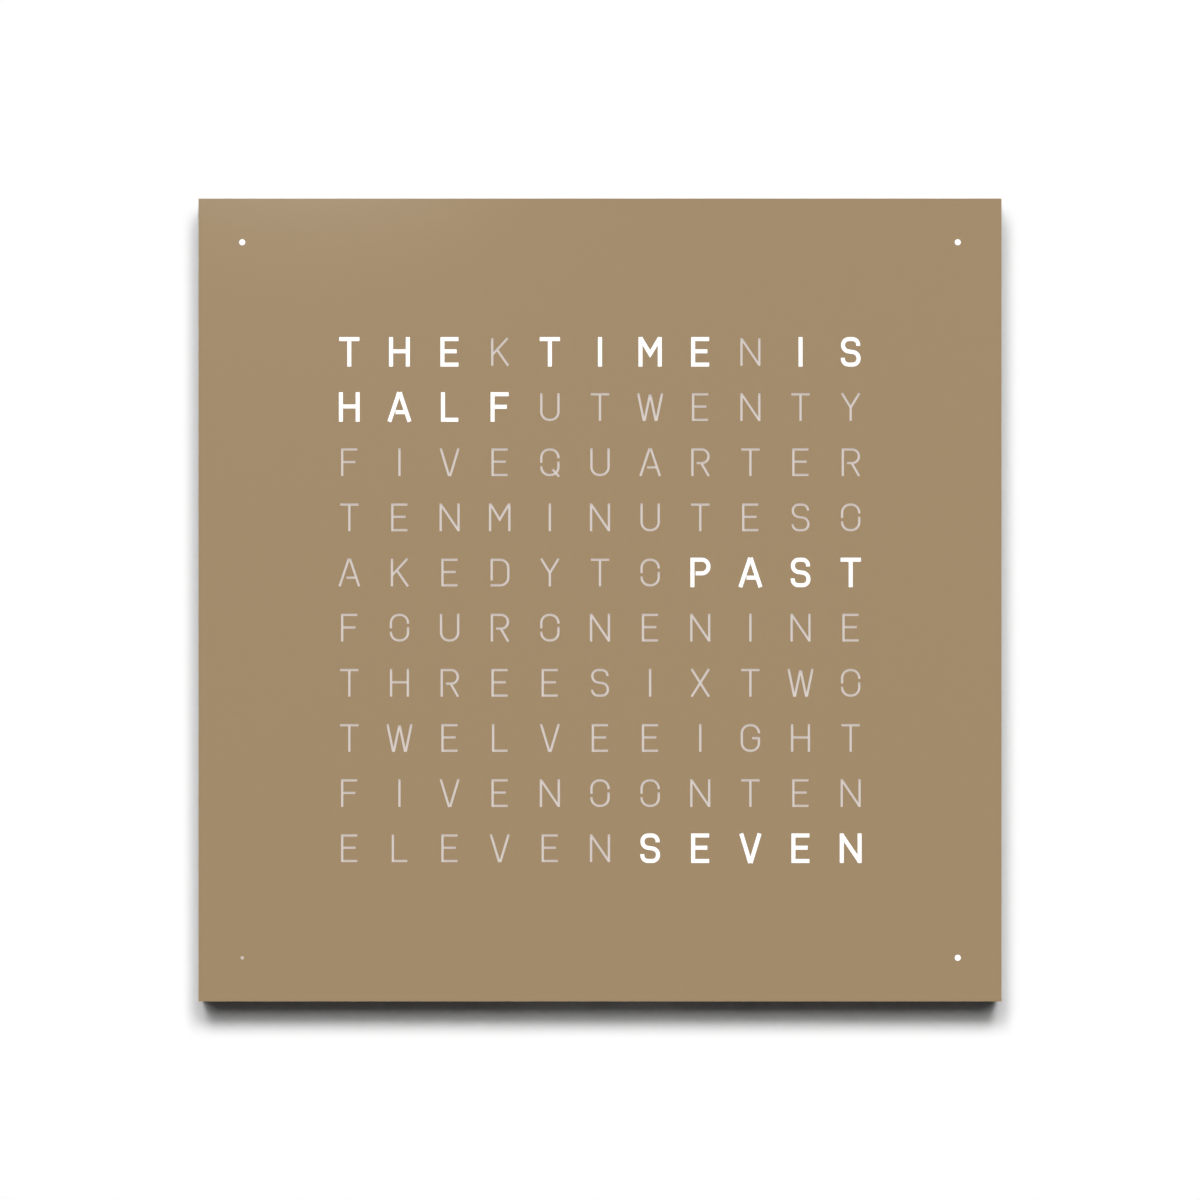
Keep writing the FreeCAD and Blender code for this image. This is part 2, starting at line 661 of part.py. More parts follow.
def make_light_sensor():
    """Beside an LED, where it sees the room through that cell's letter."""
    x = f"{CELL_X} + {COLUMN_PITCH} * (sizes.sensor_column - 1) + sizes.sensor_shift"
    z = f"-{CELL_Z} - {ROW_PITCH} * (sizes.sensor_row - 1)"
    size = ("sizes.sensor_side", "sizes.sensor_side", "sizes.sensor_t")
    block("light_sensor", 1, *size, BOARD_FRONT, x, z)


def make_led_driver_chips():
    size = ("sizes.driver_w", "sizes.driver_rise", "sizes.driver_t")
    span = "(sizes.driver_pitch * (sizes.drivers - 1))"
    place = (f"{BOARD_BACK} - sizes.driver_t", f"-{span} / 2", "-sizes.driver_drop")
    body, chip = block("led_driver_chips", DIMENSIONS["drivers"], *size, *place)
    repeat(body, "set", [chip], row(body, "X_Axis", span, "sizes.drivers"))


# ---------------------------------------------------------------------------
# Corner dots
# ---------------------------------------------------------------------------

def make_minute_led_boards():
    side = "sizes.dot_board_side"
    size = (side, side, "sizes.board_t")
    body, board = block("minute_led_boards", 4, *size, BOARD_BACK, *CORNER)
    repeat(body, "set", [board], turns(body, 4))


def make_minute_leds():
    size = ("sizes.led_w", "sizes.led_rise", "sizes.led_t")
    body, led = block("minute_leds", 4, *size, BOARD_FRONT, *CORNER)
    repeat(body, "set", [led], turns(body, 4))


def make_minute_led_leads():
    """Flat leads soldered to the backs of the LED board and the corner boards."""
    body = new_body("minute_led_leads", pieces=4)
    start = f"({BOARD_SIDE} / 2 * sqrt(2) - sizes.lead_lap)"
    finish = f"(({DOT_REACH} - sizes.dot_board_side / 2) * sqrt(2) + sizes.lead_lap)"
    flat = new_sketch(body, "flat", f"{BOARD_BACK} - sizes.lead_t", turn=45.0)
    middle = f"-({start} + {finish}) / 2"
    rectangle(flat, "side", f"{finish} - {start}", "sizes.lead_w", middle)
    repeat(body, "set", [pad(body, flat, "sizes.lead_t")], turns(body, 4))


# ---------------------------------------------------------------------------
# Controller board
# ---------------------------------------------------------------------------

def make_controller_board():
    """Lies on the bay's two ledges, with its parts on the front."""
    size = ("sizes.controller_w", "sizes.controller_rise", "sizes.controller_t")
    body, board = block("controller_board", 1, *size, CONTROLLER_BACK, "0", CONTROLLER_MIDDLE)
    holes = new_sketch(body, "holes", CONTROLLER_FRONT)
    for hand, x in CONTROLLER_HOLES.items():
        circle(holes, hand, SCREW_HOLE_D, x, CONTROLLER_MIDDLE)
    pocket(body, holes, "sizes.controller_t")


def make_controller_screws():
    """Pan-head screws into the ledges."""
    body = new_body("controller_screws", pieces=2)
    parts = {
        "head": (f"{CONTROLLER_BACK} - sizes.pan_head_t", "sizes.pan_head_d", "sizes.pan_head_t"),
        "shank": (CONTROLLER_BACK, "sizes.screw_d", "sizes.screw_len"),
    }
    for name, (level, width, length) in parts.items():
        ring = new_sketch(body, name, level)
        for hand, x in CONTROLLER_HOLES.items():
            circle(ring, hand, width, x, CONTROLLER_MIDDLE)
        pad(body, ring, length, refine=True)


def make_chips():
    """The larger parts soldered to the controller board's front face."""
    side = "sizes.processor_side"
    x = "(sizes.processor_inset - sizes.controller_w / 2)"
    place = (CONTROLLER_FRONT, x, CHIP_LINE)
    block("processor_chip", 1, side, side, "sizes.processor_t", *place)
    size = ("sizes.clock_chip_w", "sizes.clock_chip_rise", "sizes.clock_chip_t")
    x = f"({HOLDER_X} - sizes.clock_chip_gap)"
    block("clock_chip", 1, *size, CONTROLLER_FRONT, x, CHIP_LINE)
    size = ("sizes.crystal_w", "sizes.crystal_rise", "sizes.crystal_t")
    x = f"({HOLDER_X} - sizes.crystal_gap)"
    block("clock_crystal", 1, *size, CONTROLLER_FRONT, x, CHIP_LINE)


def make_backup_battery():
    """Coin cell in an open-topped holder."""
    size = ("sizes.holder_w", "sizes.holder_rise", "sizes.holder_t")
    place = (HOLDER_X, CHIP_LINE)
    body, box = block("battery_holder", 1, *size, CONTROLLER_FRONT, *place)
    rim = f"{CONTROLLER_FRONT} + sizes.holder_t"
    well = new_sketch(body, "well", rim)
    circle(well, "well", "sizes.cell_d + 2 * sizes.cell_play", *place)
    pocket(body, well, "sizes.cell_t")
    cell = new_body("backup_battery")
    disc = new_sketch(cell, "disc", f"{rim} - sizes.cell_t")
    circle(disc, "disc", "sizes.cell_d", *place)
    pad(cell, disc, "sizes.cell_t")


def make_power_jack():
    """Barrel socket that faces down towards the plug hole."""
    size = ("sizes.jack_w", "sizes.jack_len", "sizes.jack_tall")
    middle = f"{JACK_MOUTH} + sizes.jack_len / 2"
    body, box = block("power_jack", 1, *size, CONTROLLER_FRONT, "0", middle)
    floor = f"({JACK_MOUTH} + sizes.jack_bore_len)"
    bore = new_floor_sketch(body, "bore", floor)
    circle(bore, "bore", "sizes.jack_bore_d", "0", f"-{JACK_LEVEL}")
    pocket(body, bore, "sizes.jack_bore_len")
    pin = new_body("power_jack_pin")
    tip = new_floor_sketch(pin, "pin", f"{floor} - sizes.jack_pin_len")
    circle(tip, "pin", "sizes.jack_pin_d", "0", f"-{JACK_LEVEL}")
    pad(pin, tip, "sizes.jack_pin_len")


# ---------------------------------------------------------------------------
# Push keys
# ---------------------------------------------------------------------------

# the four keys from left to right, with the power inlet between the pairs
KEYS = {
    "minute": f"(-{OUTER_KEY})",
    "hour": f"(-{INNER_KEY})",
    "light": INNER_KEY,
    "mode": OUTER_KEY,
}
KEY_WINDOW = ("(sizes.key_w + 2 * sizes.key_play)", "(sizes.key_tall + 2 * sizes.key_play)")


def make_edge_panel():
    """Moulded panel in the frame's lower edge: an open box with a guide round each key and
    round the plug hole."""
    body = new_body("edge_panel")
    depth = f"({BAY_FOOT} - {FRAME_FOOT})"
    face = new_floor_sketch(body, "face", FRAME_FOOT)
    rectangle(face, "side", PANEL_W, "sizes.panel_tall", "0", f"-{JACK_LEVEL}")
    pad(body, face, depth)
    hollow = new_floor_sketch(body, "hollow", BAY_FOOT)
    inside = "(sizes.panel_tall - 2 * sizes.panel_t)"
    guide = "(sizes.key_w / 2 + sizes.key_play + sizes.panel_t)"
    spans = {
        "inner": ("(sizes.plug_hole_d / 2 + sizes.panel_t)", f"({INNER_KEY} - {guide})"),
        "middle": (f"({INNER_KEY} + {guide})", f"({OUTER_KEY} - {guide})"),
        "outer": (f"({OUTER_KEY} + {guide})", f"({PANEL_W} / 2 - sizes.panel_t)"),
    }
    for name, (near, far) in spans.items():
        for hand, sign in (("left", "-"), ("right", "")):
            place = (f"{sign}({near} + {far}) / 2", f"-{JACK_LEVEL}")
            rectangle(hollow, f"{name}_{hand}", f"{far} - {near}", inside, *place)
    pocket(body, hollow, f"{depth} - sizes.panel_t")
    holes = new_floor_sketch(body, "holes", BAY_FOOT)
    circle(holes, "plug", "sizes.plug_hole_d", "0", f"-{JACK_LEVEL}")
    for name, x in KEYS.items():
        rectangle(holes, name, *KEY_WINDOW, x, f"-{KEY_LEVEL}")
    pocket(body, holes, depth)


def make_tact_switches():
    """Four switch housings on the board's lower edge, each open for its stem."""
    body = new_body("tact_switches", pieces=len(KEYS))
    outline = new_sketch(body, "outline", CONTROLLER_FRONT)
    middle = f"{SWITCH_FACE} + sizes.switch_len / 2"
    for name, x in KEYS.items():
        rectangle(outline, name, "sizes.switch_w", "sizes.switch_len", x, middle)
    pad(body, outline, "sizes.switch_tall")
    depth = "(sizes.stem_in + sizes.key_travel + sizes.stem_play)"
    mouth = new_floor_sketch(body, "mouth", f"{SWITCH_FACE} + {depth}")
    size = ("sizes.stem_w + 2 * sizes.stem_play", "sizes.stem_tall + 2 * sizes.stem_play")
    for name, x in KEYS.items():
        rectangle(mouth, name, *size, x, f"-{KEY_LEVEL}")
    pocket(body, mouth, depth)


def make_key(name, x):
    """A key with an inner collar, and the switch stem that it pushes."""
    level = f"-{KEY_LEVEL}"
    body = new_body(f"{name}_button")
    foot = f"({FRAME_FOOT} - sizes.key_out)"
    shaft = new_floor_sketch(body, "shaft", foot)
    rectangle(shaft, "side", "sizes.key_w", "sizes.key_tall", x, level)
    pad(body, shaft, f"{STEM_TIP} - {foot}")
    collar = new_floor_sketch(body, "collar", COLLAR_FOOT)
    rectangle(collar, "side", "sizes.collar_w", "sizes.collar_tall", x, level)
    pad(body, collar, "sizes.collar_t", refine=True)
    stem = new_body(f"{name}_switch_stem")
    tip = new_floor_sketch(stem, "tip", STEM_TIP)
    rectangle(tip, "side", "sizes.stem_w", "sizes.stem_tall", x, level)
    pad(stem, tip, "sizes.stem_out + sizes.stem_in")


# ---------------------------------------------------------------------------
# Ribbon cable
# ---------------------------------------------------------------------------

UPPER_SOCKET_FOOT = f"(sizes.socket_edge - {BOARD_SIDE} / 2)"
LOWER_SOCKET_TOP = f"({CONTROLLER_TOP} - sizes.socket_edge)"


def make_cable_sockets():
    """One socket behind the LED board and one on the controller, each slotted for the ribbon."""
    body = new_body("cable_sockets", pieces=2)
    size = ("sizes.socket_w", "sizes.socket_rise")
    upper = new_sketch(body, "upper", f"{BOARD_BACK} - sizes.socket_t")
    rectangle(upper, "side", *size, "0", f"{UPPER_SOCKET_FOOT} + sizes.socket_rise / 2")
    pad(body, upper, "sizes.socket_t")
    lower = new_sketch(body, "lower", CONTROLLER_FRONT)
    rectangle(lower, "side", *size, "0", f"{LOWER_SOCKET_TOP} - sizes.socket_rise / 2")
    pad(body, lower, "sizes.socket_t")
    slot = new_sketch(body, "slot", f"{CABLE_MIDDLE} - sizes.cable_t / 2 - sizes.cable_play")
    width = "(sizes.cable_w + 2 * sizes.cable_play)"
    lap = "(sizes.cable_lap + sizes.cable_play)"
    rectangle(slot, "upper", width, lap, "0", f"{UPPER_SOCKET_FOOT} + {lap} / 2")
    rectangle(slot, "lower", width, lap, "0", f"{LOWER_SOCKET_TOP} - {lap} / 2")
    pocket(body, slot, "sizes.cable_t + 2 * sizes.cable_play", forwards=True)


def make_led_cable():
    """Flat ribbon from the LED board to the controller."""
    length = f"({UPPER_SOCKET_FOOT} - {LOWER_SOCKET_TOP} + 2 * sizes.cable_lap)"
    middle = f"({UPPER_SOCKET_FOOT} + {LOWER_SOCKET_TOP}) / 2"
    level = f"{CABLE_MIDDLE} - sizes.cable_t / 2"
    block("led_cable", 1, "sizes.cable_w", length, "sizes.cable_t", level, "0", middle)


# ---------------------------------------------------------------------------
# Rear cover
# ---------------------------------------------------------------------------

def make_rear_cover():
    """Aluminium sheet, flush in the frame's rear rebate, with the two wall keyholes."""
    body, plate = block("rear_cover", 1, REAR_SIDE, REAR_SIDE, "sizes.rear_t", "0")
    holes = new_sketch(body, "keyhole", REAR_FLOOR)
    slots = new_sketch(body, "slot", REAR_FLOOR)
    ends = new_sketch(body, "slot_end", REAR_FLOOR)
    size = ("sizes.hang_slot_w", "sizes.hang_slot_len")
    for hand, x in HANGERS.items():
        circle(holes, hand, "sizes.hang_hole_d", x, HANG_UP)
        rectangle(slots, hand, *size, x, f"{HANG_UP} + sizes.hang_slot_len / 2")
        circle(ends, hand, "sizes.hang_slot_w", x, f"{HANG_UP} + sizes.hang_slot_len")
    for sketch in (holes, slots, ends):
        pocket(body, sketch, "sizes.rear_t")
    sink = new_sketch(body, "screw_hole", "0")
    circle(sink, "rim", SCREW_SINK_D, f"-{REAR_SPAN} / 2", f"-{REAR_RING}")
    slope = "-atan((sizes.screw_head_d - sizes.screw_d) / 2 / sizes.rear_t)"
    hole = pocket(body, sink, "sizes.rear_t", slope, forwards=True)
    across = row(body, "X_Axis", REAR_SPAN, "sizes.rear_screws")
    repeat(body, "screw_holes", [hole], across, turns(body, 4))


def make_rear_cover_screws():
    """Screws whose heads fill the countersinks, which narrow over the whole sheet."""
    body = new_body("rear_cover_screws", pieces=4 * DIMENSIONS["rear_screws"])
    profile = new_side_sketch(body, "profile", f"-{REAR_SPAN} / 2")
    axis = f"-{REAR_RING}"
    points = [
        ("0", axis),
        ("0", f"{axis} + sizes.screw_head_d / 2"),
        ("-sizes.rear_t", f"{axis} + sizes.screw_d / 2"),
        ("-sizes.screw_len", f"{axis} + sizes.screw_d / 2"),
        ("-sizes.screw_len", axis),
    ]
    polygon(profile, "half", points)
    screw = body.newObject("PartDesign::Revolution", "rear_cover_screws_turned")
    screw.Profile = profile
    screw.ReferenceAxis = (profile, [f"Edge{len(points)}"])
    screw.Angle = 360
    screw.Refine = False
    across = row(body, "X_Axis", REAR_SPAN, "sizes.rear_screws")
    repeat(body, "ring", [screw], across, turns(body, 4))


# ---------------------------------------------------------------------------
# Build, check and write
# ---------------------------------------------------------------------------

make_front_cover()
make_diffuser_sheet()
make_body_frame()
make_cover_magnets()
make_light_grid()
make_led_board()
make_letter_leds()
make_light_sensor()
make_led_driver_chips()
make_minute_led_boards()
make_minute_leds()
make_minute_led_leads()
make_controller_board()
make_controller_screws()
make_chips()
make_backup_battery()
make_power_jack()
make_edge_panel()
make_tact_switches()
for key, place in KEYS.items():
    make_key(key, place)
make_cable_sockets()
make_led_cable()
make_rear_cover()
make_rear_cover_screws()

document.recompute()
for item in document.Objects:
    if {"Invalid", "Error"} & set(item.State):
        raise RuntimeError(f"{item.Name} failed: {item.State}")

os.makedirs("parts", exist_ok=True)
for body, pieces in bodies:
    shape = body.Shape
    if shape.isNull() or not shape.isValid():
        raise RuntimeError(f"{body.Label} has no valid shape")
    if len(shape.Solids) != pieces:
        raise RuntimeError(f"{body.Label} has {len(shape.Solids)} solids, not {pieces}")
    shape.exportStep(f"parts/{body.Label}.step")
    box = shape.BoundBox
    print(f"{body.Label:20s} {pieces:4d} {shape.Volume:10.1f} mm3", end="  ")
    print(f"X {box.XMin:.2f} {box.XMax:.2f}  level {-box.YMax:.2f} {-box.YMin:.2f}", end="  ")
    print(f"Z {box.ZMin:.2f} {box.ZMax:.2f}")
print(f"{len(bodies)} nodes")
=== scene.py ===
"""Looks of the word clock, in metres: X to the right, Y towards the wall, Z up."""
import json
import math

import bpy
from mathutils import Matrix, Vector

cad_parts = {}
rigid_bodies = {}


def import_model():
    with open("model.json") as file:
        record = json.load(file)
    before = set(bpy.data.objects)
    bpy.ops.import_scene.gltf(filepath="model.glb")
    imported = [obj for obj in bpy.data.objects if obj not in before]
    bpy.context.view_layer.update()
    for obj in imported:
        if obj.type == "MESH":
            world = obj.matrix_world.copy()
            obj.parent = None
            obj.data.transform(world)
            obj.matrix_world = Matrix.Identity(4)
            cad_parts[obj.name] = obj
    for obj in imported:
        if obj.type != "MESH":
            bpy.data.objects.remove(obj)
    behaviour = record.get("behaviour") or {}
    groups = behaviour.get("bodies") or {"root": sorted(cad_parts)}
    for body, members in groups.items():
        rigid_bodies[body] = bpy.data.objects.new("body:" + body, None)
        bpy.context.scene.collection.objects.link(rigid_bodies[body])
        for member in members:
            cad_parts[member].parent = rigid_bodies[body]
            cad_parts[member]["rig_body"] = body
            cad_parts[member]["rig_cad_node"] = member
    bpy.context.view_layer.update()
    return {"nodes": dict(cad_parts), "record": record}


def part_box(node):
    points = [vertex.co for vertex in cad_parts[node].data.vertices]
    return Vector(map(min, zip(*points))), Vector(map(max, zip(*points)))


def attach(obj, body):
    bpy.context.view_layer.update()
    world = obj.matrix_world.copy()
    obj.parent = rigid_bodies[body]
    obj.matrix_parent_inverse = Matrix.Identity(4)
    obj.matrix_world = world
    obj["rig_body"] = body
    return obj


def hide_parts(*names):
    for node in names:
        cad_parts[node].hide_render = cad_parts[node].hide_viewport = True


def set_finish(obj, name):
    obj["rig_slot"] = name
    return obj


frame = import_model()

scene = bpy.context.scene
scene.view_settings.view_transform = "Standard"
mm = 0.001


# ---------------------------------------------------------------------------
# Camera, wall, floor and lamps
# The camera stands far off, square to the clock's middle. Three pairs of wide lights in front
# throw the short shadow under the clock, and lamps behind light its sides and back.
# ---------------------------------------------------------------------------

FRONT = -20 * mm  # front surface of the cover
VIEW_WIDTH = 0.6725  # what the picture spans at the cover


class Shade:
    """One output of a material's nodes. Sums on it add Math nodes."""

    def __init__(self, finish, socket):
        self.finish = finish
        self.socket = socket

    def maths(self, operation, *values):
        settings = {"operation": operation}
        return self.finish.node("ShaderNodeMath", settings, dict(enumerate(values)))

    def __add__(self, other):
        return self.maths("ADD", self, other)

    def __sub__(self, other):
        return self.maths("SUBTRACT", self, other)

    def __rsub__(self, other):
        return self.maths("SUBTRACT", other, self)

    def __mul__(self, other):
        return self.maths("MULTIPLY", self, other)

    def __gt__(self, other):
        return self.maths("GREATER_THAN", self, other)

    def __lt__(self, other):
        return self.maths("LESS_THAN", self, other)

    def __abs__(self):
        return self.maths("ABSOLUTE", self)

    def near(self, middle, reach):
        """1 where this is within reach of middle, else 0."""
        return self.maths("COMPARE", self, middle, reach)

    def wrap(self, pitch, start):
        """Distance from the nearest of a row of lines, signed: one at start, pitch apart."""
        folded = self.maths("WRAP", self, start + pitch / 2, start - pitch / 2)
        return folded - start

    __radd__ = __add__
    __rmul__ = __mul__


class Finish:
    """A material with one Principled shader, and the patterns that feed it."""

    def __init__(self, name, **sockets):
        self.material = bpy.data.materials.new(name)
        self.material.use_nodes = True
        self.tree = self.material.node_tree
        self.shader = self.tree.nodes["Principled BSDF"]
        self.output = self.tree.nodes["Material Output"]
        self.place = self.node("ShaderNodeTexCoord", {}, {}, "Object")
        self.feed(**sockets)

    def node(self, kind, settings, values, output=0):
        """Adds a node with its settings and what its sockets take, and gives one output."""
        made = self.tree.nodes.new(kind)
        for key, value in settings.items():
            setattr(made, key, value)
        for socket, value in values.items():
            self.join(value, made.inputs[socket])
        return Shade(self, made.outputs[output])

    def join(self, value, socket):
        """Gives a socket an output, a colour or a number."""
        if isinstance(value, Shade):
            self.tree.links.new(value.socket, socket)
        elif isinstance(value, tuple) and len(value) == 3 and socket.type == "RGBA":
            socket.default_value = (*value, 1)
        else:
            socket.default_value = value

    def feed(self, **sockets):
        """Sets the shader's sockets; underscores stand for the spaces in their names."""
        for name, value in sockets.items():
            self.join(value, self.shader.inputs[name.replace("_", " ")])

    def axes(self):
        """Place across, along the depth and up, in metres."""
        parts = self.node("ShaderNodeSeparateXYZ", {}, {0: self.place})
        return [Shade(self, parts.socket.node.outputs[axis]) for axis in "XYZ"]

    def noise(self, scale, detail=2.0, stretch=None):
        """Soft noise from 0 to 1, its grain about 1 / scale metres wide, or longer along an
        axis whose stretch is under 1."""
        where = self.place
        if stretch:
            where = self.node("ShaderNodeMapping", {}, {"Vector": where, "Scale": stretch})
        values = {"Vector": where, "Scale": scale, "Detail": detail}
        return self.node("ShaderNodeTexNoise", {}, values)

    def tint(self, share, first, second):
        """first where share is 0, second where it is 1."""
        values = {"Factor": share, 6: first, 7: second}
        return self.node("ShaderNodeMix", {"data_type": "RGBA"}, values, 2)

    def blend(self, share, low, high):
        """The same for two numbers."""
        return share * (high - low) + low

    def relief(self, height, distance, strength=0.5):
        """Bumps as high as distance where height is 1."""
        values = {"Height": height, "Distance": distance, "Strength": strength}
        self.feed(Normal=self.node("ShaderNodeBump", {}, values))


def only(obj):
    """Selects obj alone and makes it active."""
    bpy.ops.object.select_all(action="DESELECT")
    obj.select_set(True)
    bpy.context.view_layer.objects.active = obj
    return obj


def settle(obj):
    """Moves an object's place, turn and scale into its mesh."""
    only(obj)
    bpy.ops.object.transform_apply(location=True, rotation=True, scale=True)
    return obj


def lamp(name, place, aim, width, height, power):
    """A rectangular lamp, in metres and watts, that the camera doesn't see."""
    bpy.ops.object.light_add(type="AREA", location=place)
    obj = bpy.context.object
    obj.name = name
    obj.data.shape = "RECTANGLE"
    obj.data.size = width
    obj.data.size_y = height
    obj.data.energy = power
    obj.rotation_euler = (Vector(aim) - Vector(place)).to_track_quat("-Z", "Y").to_euler()
    obj.visible_camera = False
    return obj


LENS = 300.0  # in millimetres, as the sensor's width
SENSOR = 36.0
distance = VIEW_WIDTH * LENS / SENSOR
bpy.ops.object.camera_add(location=(0, FRONT - distance, 0), rotation=(math.pi / 2, 0, 0))
scene.camera = bpy.context.object
scene.camera.data.lens = LENS
scene.camera.data.clip_start = 0.05

# pairs of wide lights: degrees to either side, degrees up, degrees wide, and strength
for aside, up, wide, strength in [(12, 37, 19, 1.32), (20, 23, 22, 0.49), (20, 10, 24, 0.05)]:
    for turn in (-aside, aside):
        tilt = math.radians(90 - up)
        bpy.ops.object.light_add(type="SUN", rotation=(tilt, 0, math.radians(turn)))
        front_light = bpy.context.object
        front_light.name = "soft_front_light"
        front_light.data.angle = math.radians(wide)
        front_light.data.energy = strength

# a faint sheen on the cover's upper left corner, from a lamp that only reflections show
sheen = lamp("corner_sheen_lamp", (-0.165, -0.1, 0.28), (-0.165, 0, 0.2), 0.16, 0.03, 0.2)
sheen.visible_diffuse = False

# for the frame's black sides, the rear and the underside
lamp("rear_left_lamp", (-3.2, 2.2, 1.6), (0, 0, 0), 1.8, 1.8, 105)
lamp("rear_right_lamp", (3.2, 2.2, 1.6), (0, 0, 0), 1.8, 1.8, 85)
lamp("low_lamp", (0.3, 0.9, -1.5), (0, 0, -0.2), 1.4, 1.2, 22)


def backdrop(name, size, place, turn, white):
    """A white sheet that only the camera sees, and only from the side that it faces."""
    bpy.ops.mesh.primitive_plane_add(size=size, location=place, rotation=turn)
    obj = settle(bpy.context.object)
    obj.name = name
    matt = Finish(name, Base_Color=(white, white, white), Roughness=1.0, Specular_IOR_Level=0.0)
    ray = matt.node("ShaderNodeLightPath", {}, {}, "Is Camera Ray")
    behind = matt.node("ShaderNodeNewGeometry", {}, {}, "Backfacing")
    clear = matt.node("ShaderNodeBsdfTransparent", {}, {})
    seen = {0: ray * (1 - behind), 1: clear, 2: Shade(matt, matt.shader.outputs[0])}
    matt.join(matt.node("ShaderNodeMixShader", {}, seen), matt.output.inputs["Surface"])
    obj.data.materials.append(matt.material)


FLOOR_LEVEL = -0.5
SHEET = 12.0
wall_place = (0, 0.5 * mm, FLOOR_LEVEL + SHEET / 2)
backdrop("wall", SHEET, wall_place, (math.pi / 2, 0, 0), 1.04)
backdrop("floor", SHEET, (0, 0, FLOOR_LEVEL), (0, 0, 0), 0.95)

# the room is nearly dark to matt surfaces, and pale to shiny ones and the camera
DARK, PALE = 0.01, 0.9
room = bpy.data.worlds.new("room")
scene.world = room
room.use_nodes = True
paths = room.node_tree.nodes.new("ShaderNodeLightPath")
brightness = room.node_tree.nodes.new("ShaderNodeMix")
brightness.inputs["A"].default_value = DARK
brightness.inputs["B"].default_value = PALE
mirrored = room.node_tree.nodes.new("ShaderNodeMath")
mirrored.operation = "SUBTRACT"
mirrored.inputs[0].default_value = 1.0
room.node_tree.links.new(paths.outputs["Is Diffuse Ray"], mirrored.inputs[1])
room.node_tree.links.new(mirrored.outputs[0], brightness.inputs["Factor"])
surroundings = room.node_tree.nodes["Background"]
surroundings.inputs["Color"].default_value = (1, 1, 1, 1)
room.node_tree.links.new(brightness.outputs["Result"], surroundings.inputs["Strength"])


# ---------------------------------------------------------------------------
# Body frame
# A slab of fibreboard, milled from both sides and sprayed with black satin lacquer, which has
# a faint orange peel. It carries the boards, the edge panel and both covers.
# ---------------------------------------------------------------------------

def dress(node, finish, slot):
    """Gives a CAD node its finish."""
    obj = frame["nodes"][node]
    obj.data.materials.clear()
    obj.data.materials.append(finish.material)
    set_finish(obj, slot)


lacquer = Finish("black_lacquer", Specular_IOR_Level=0.16)
lacquer.feed(
    Base_Color=lacquer.tint(lacquer.noise(9, 3), (0.008, 0.008, 0.009), (0.014, 0.0135, 0.013)),
    Roughness=lacquer.blend(lacquer.noise(60, 3), 0.56, 0.68),
)
lacquer.relief(lacquer.noise(420, 1), 0.05 * mm, 0.35)
dress("body_frame", lacquer, "lacquered_board")


# ---------------------------------------------------------------------------
# Cover magnets
# Eight sintered bar magnets, tumbled so that their edges are round and then nickel plated,
# and glued into the frame's front.
# ---------------------------------------------------------------------------

def edit_all():
    """Opens the active mesh for editing, with all of it selected."""
    bpy.ops.object.mode_set(mode="EDIT")
    bpy.ops.mesh.select_all(action="SELECT")


def rounded_copy(node, name, width, slot, finish, segments=2):
    """A CAD node's shape with its edges rounded, in the node's place."""
    only(frame["nodes"][node])
    bpy.ops.object.duplicate()
    obj = only(bpy.context.object)
    obj.name = name
    obj.parent = None
    # the copy isn't the CAD node itself
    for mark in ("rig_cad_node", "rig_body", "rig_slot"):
        if mark in obj:
            del obj[mark]
    edit_all()
    bpy.ops.mesh.customdata_custom_splitnormals_clear()
    bpy.ops.mesh.remove_doubles(threshold=0.004 * mm)
    bpy.ops.mesh.dissolve_limited(angle_limit=math.radians(0.5))
    bpy.ops.object.mode_set(mode="OBJECT")
    soften(obj, width, segments)
    finished(obj, node_body(node), slot, finish)
    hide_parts(node)
    return obj


def soften(obj, width, segments=2, angle=35):
    """Rounds the edges that turn by more than angle, in degrees."""
    only(obj)
    edges = obj.modifiers.new("edges", "BEVEL")
    edges.width = width
    edges.segments = segments
    edges.angle_limit = math.radians(angle)
    bpy.ops.object.modifier_apply(modifier=edges.name)


def finished(obj, body, slot, *finishes):
    """Shades a piece, gives it its finishes and its slot, and hangs it on its body."""
    only(obj)
    if finishes:
        obj.data.materials.clear()
    for finish in finishes:
        obj.data.materials.append(finish.material)
    bpy.ops.object.shade_smooth_by_angle(angle=math.radians(32))
    flats = obj.modifiers.new("flat_faces", "WEIGHTED_NORMAL")
    flats.keep_sharp = True
    bpy.ops.object.modifier_apply(modifier=flats.name)
    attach(obj, body)
    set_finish(obj, slot)


def node_body(node):
    """The body that a CAD node rides on."""
    groups = frame["record"]["behaviour"]["bodies"]
    return [body for body, nodes in groups.items() if node in nodes][0]


nickel = Finish("nickel_plate", Metallic=1.0)
nickel.feed(
    Base_Color=nickel.tint(nickel.noise(700, 2), (0.56, 0.54, 0.5), (0.68, 0.66, 0.62)),
    Roughness=nickel.blend(nickel.noise(1400, 2), 0.16, 0.34),
)
nickel.relief(nickel.noise(2500, 1), 0.01 * mm, 0.5)
rounded_copy("cover_magnets", "magnet_bars", 0.5 * mm, "nickel", nickel, 3)


# ---------------------------------------------------------------------------
# Light grid
# An egg-crate of white plastic, moulded in one piece with its flange and snap hooks, which
# hold it to the LED board. It is matt; where a cell's LED is on, the light that its walls
# throw back is painted on as glow.
# ---------------------------------------------------------------------------

ROWS, COLUMNS = 10, 11
COLUMN = 28.1 * mm  # from one cell to the next, across and up
ROW = 30.91 * mm
DOT = 200.5 * mm  # from the middle to a corner dot, across and up
DOT_REACH = 6 * mm  # half the side of the lit square behind a dot

# the clock shows "the time is half past seven" and three minutes; a lit word is a row, its
# first column and the column past its last one, and a lit minute is a corner, across and up
LIT_RUNS = [(0, 0, 3), (0, 4, 8), (0, 9, 11), (1, 0, 4), (4, 7, 11), (9, 6, 11)]
LIT_DOTS = [(-1, 1), (1, 1), (1, -1)]


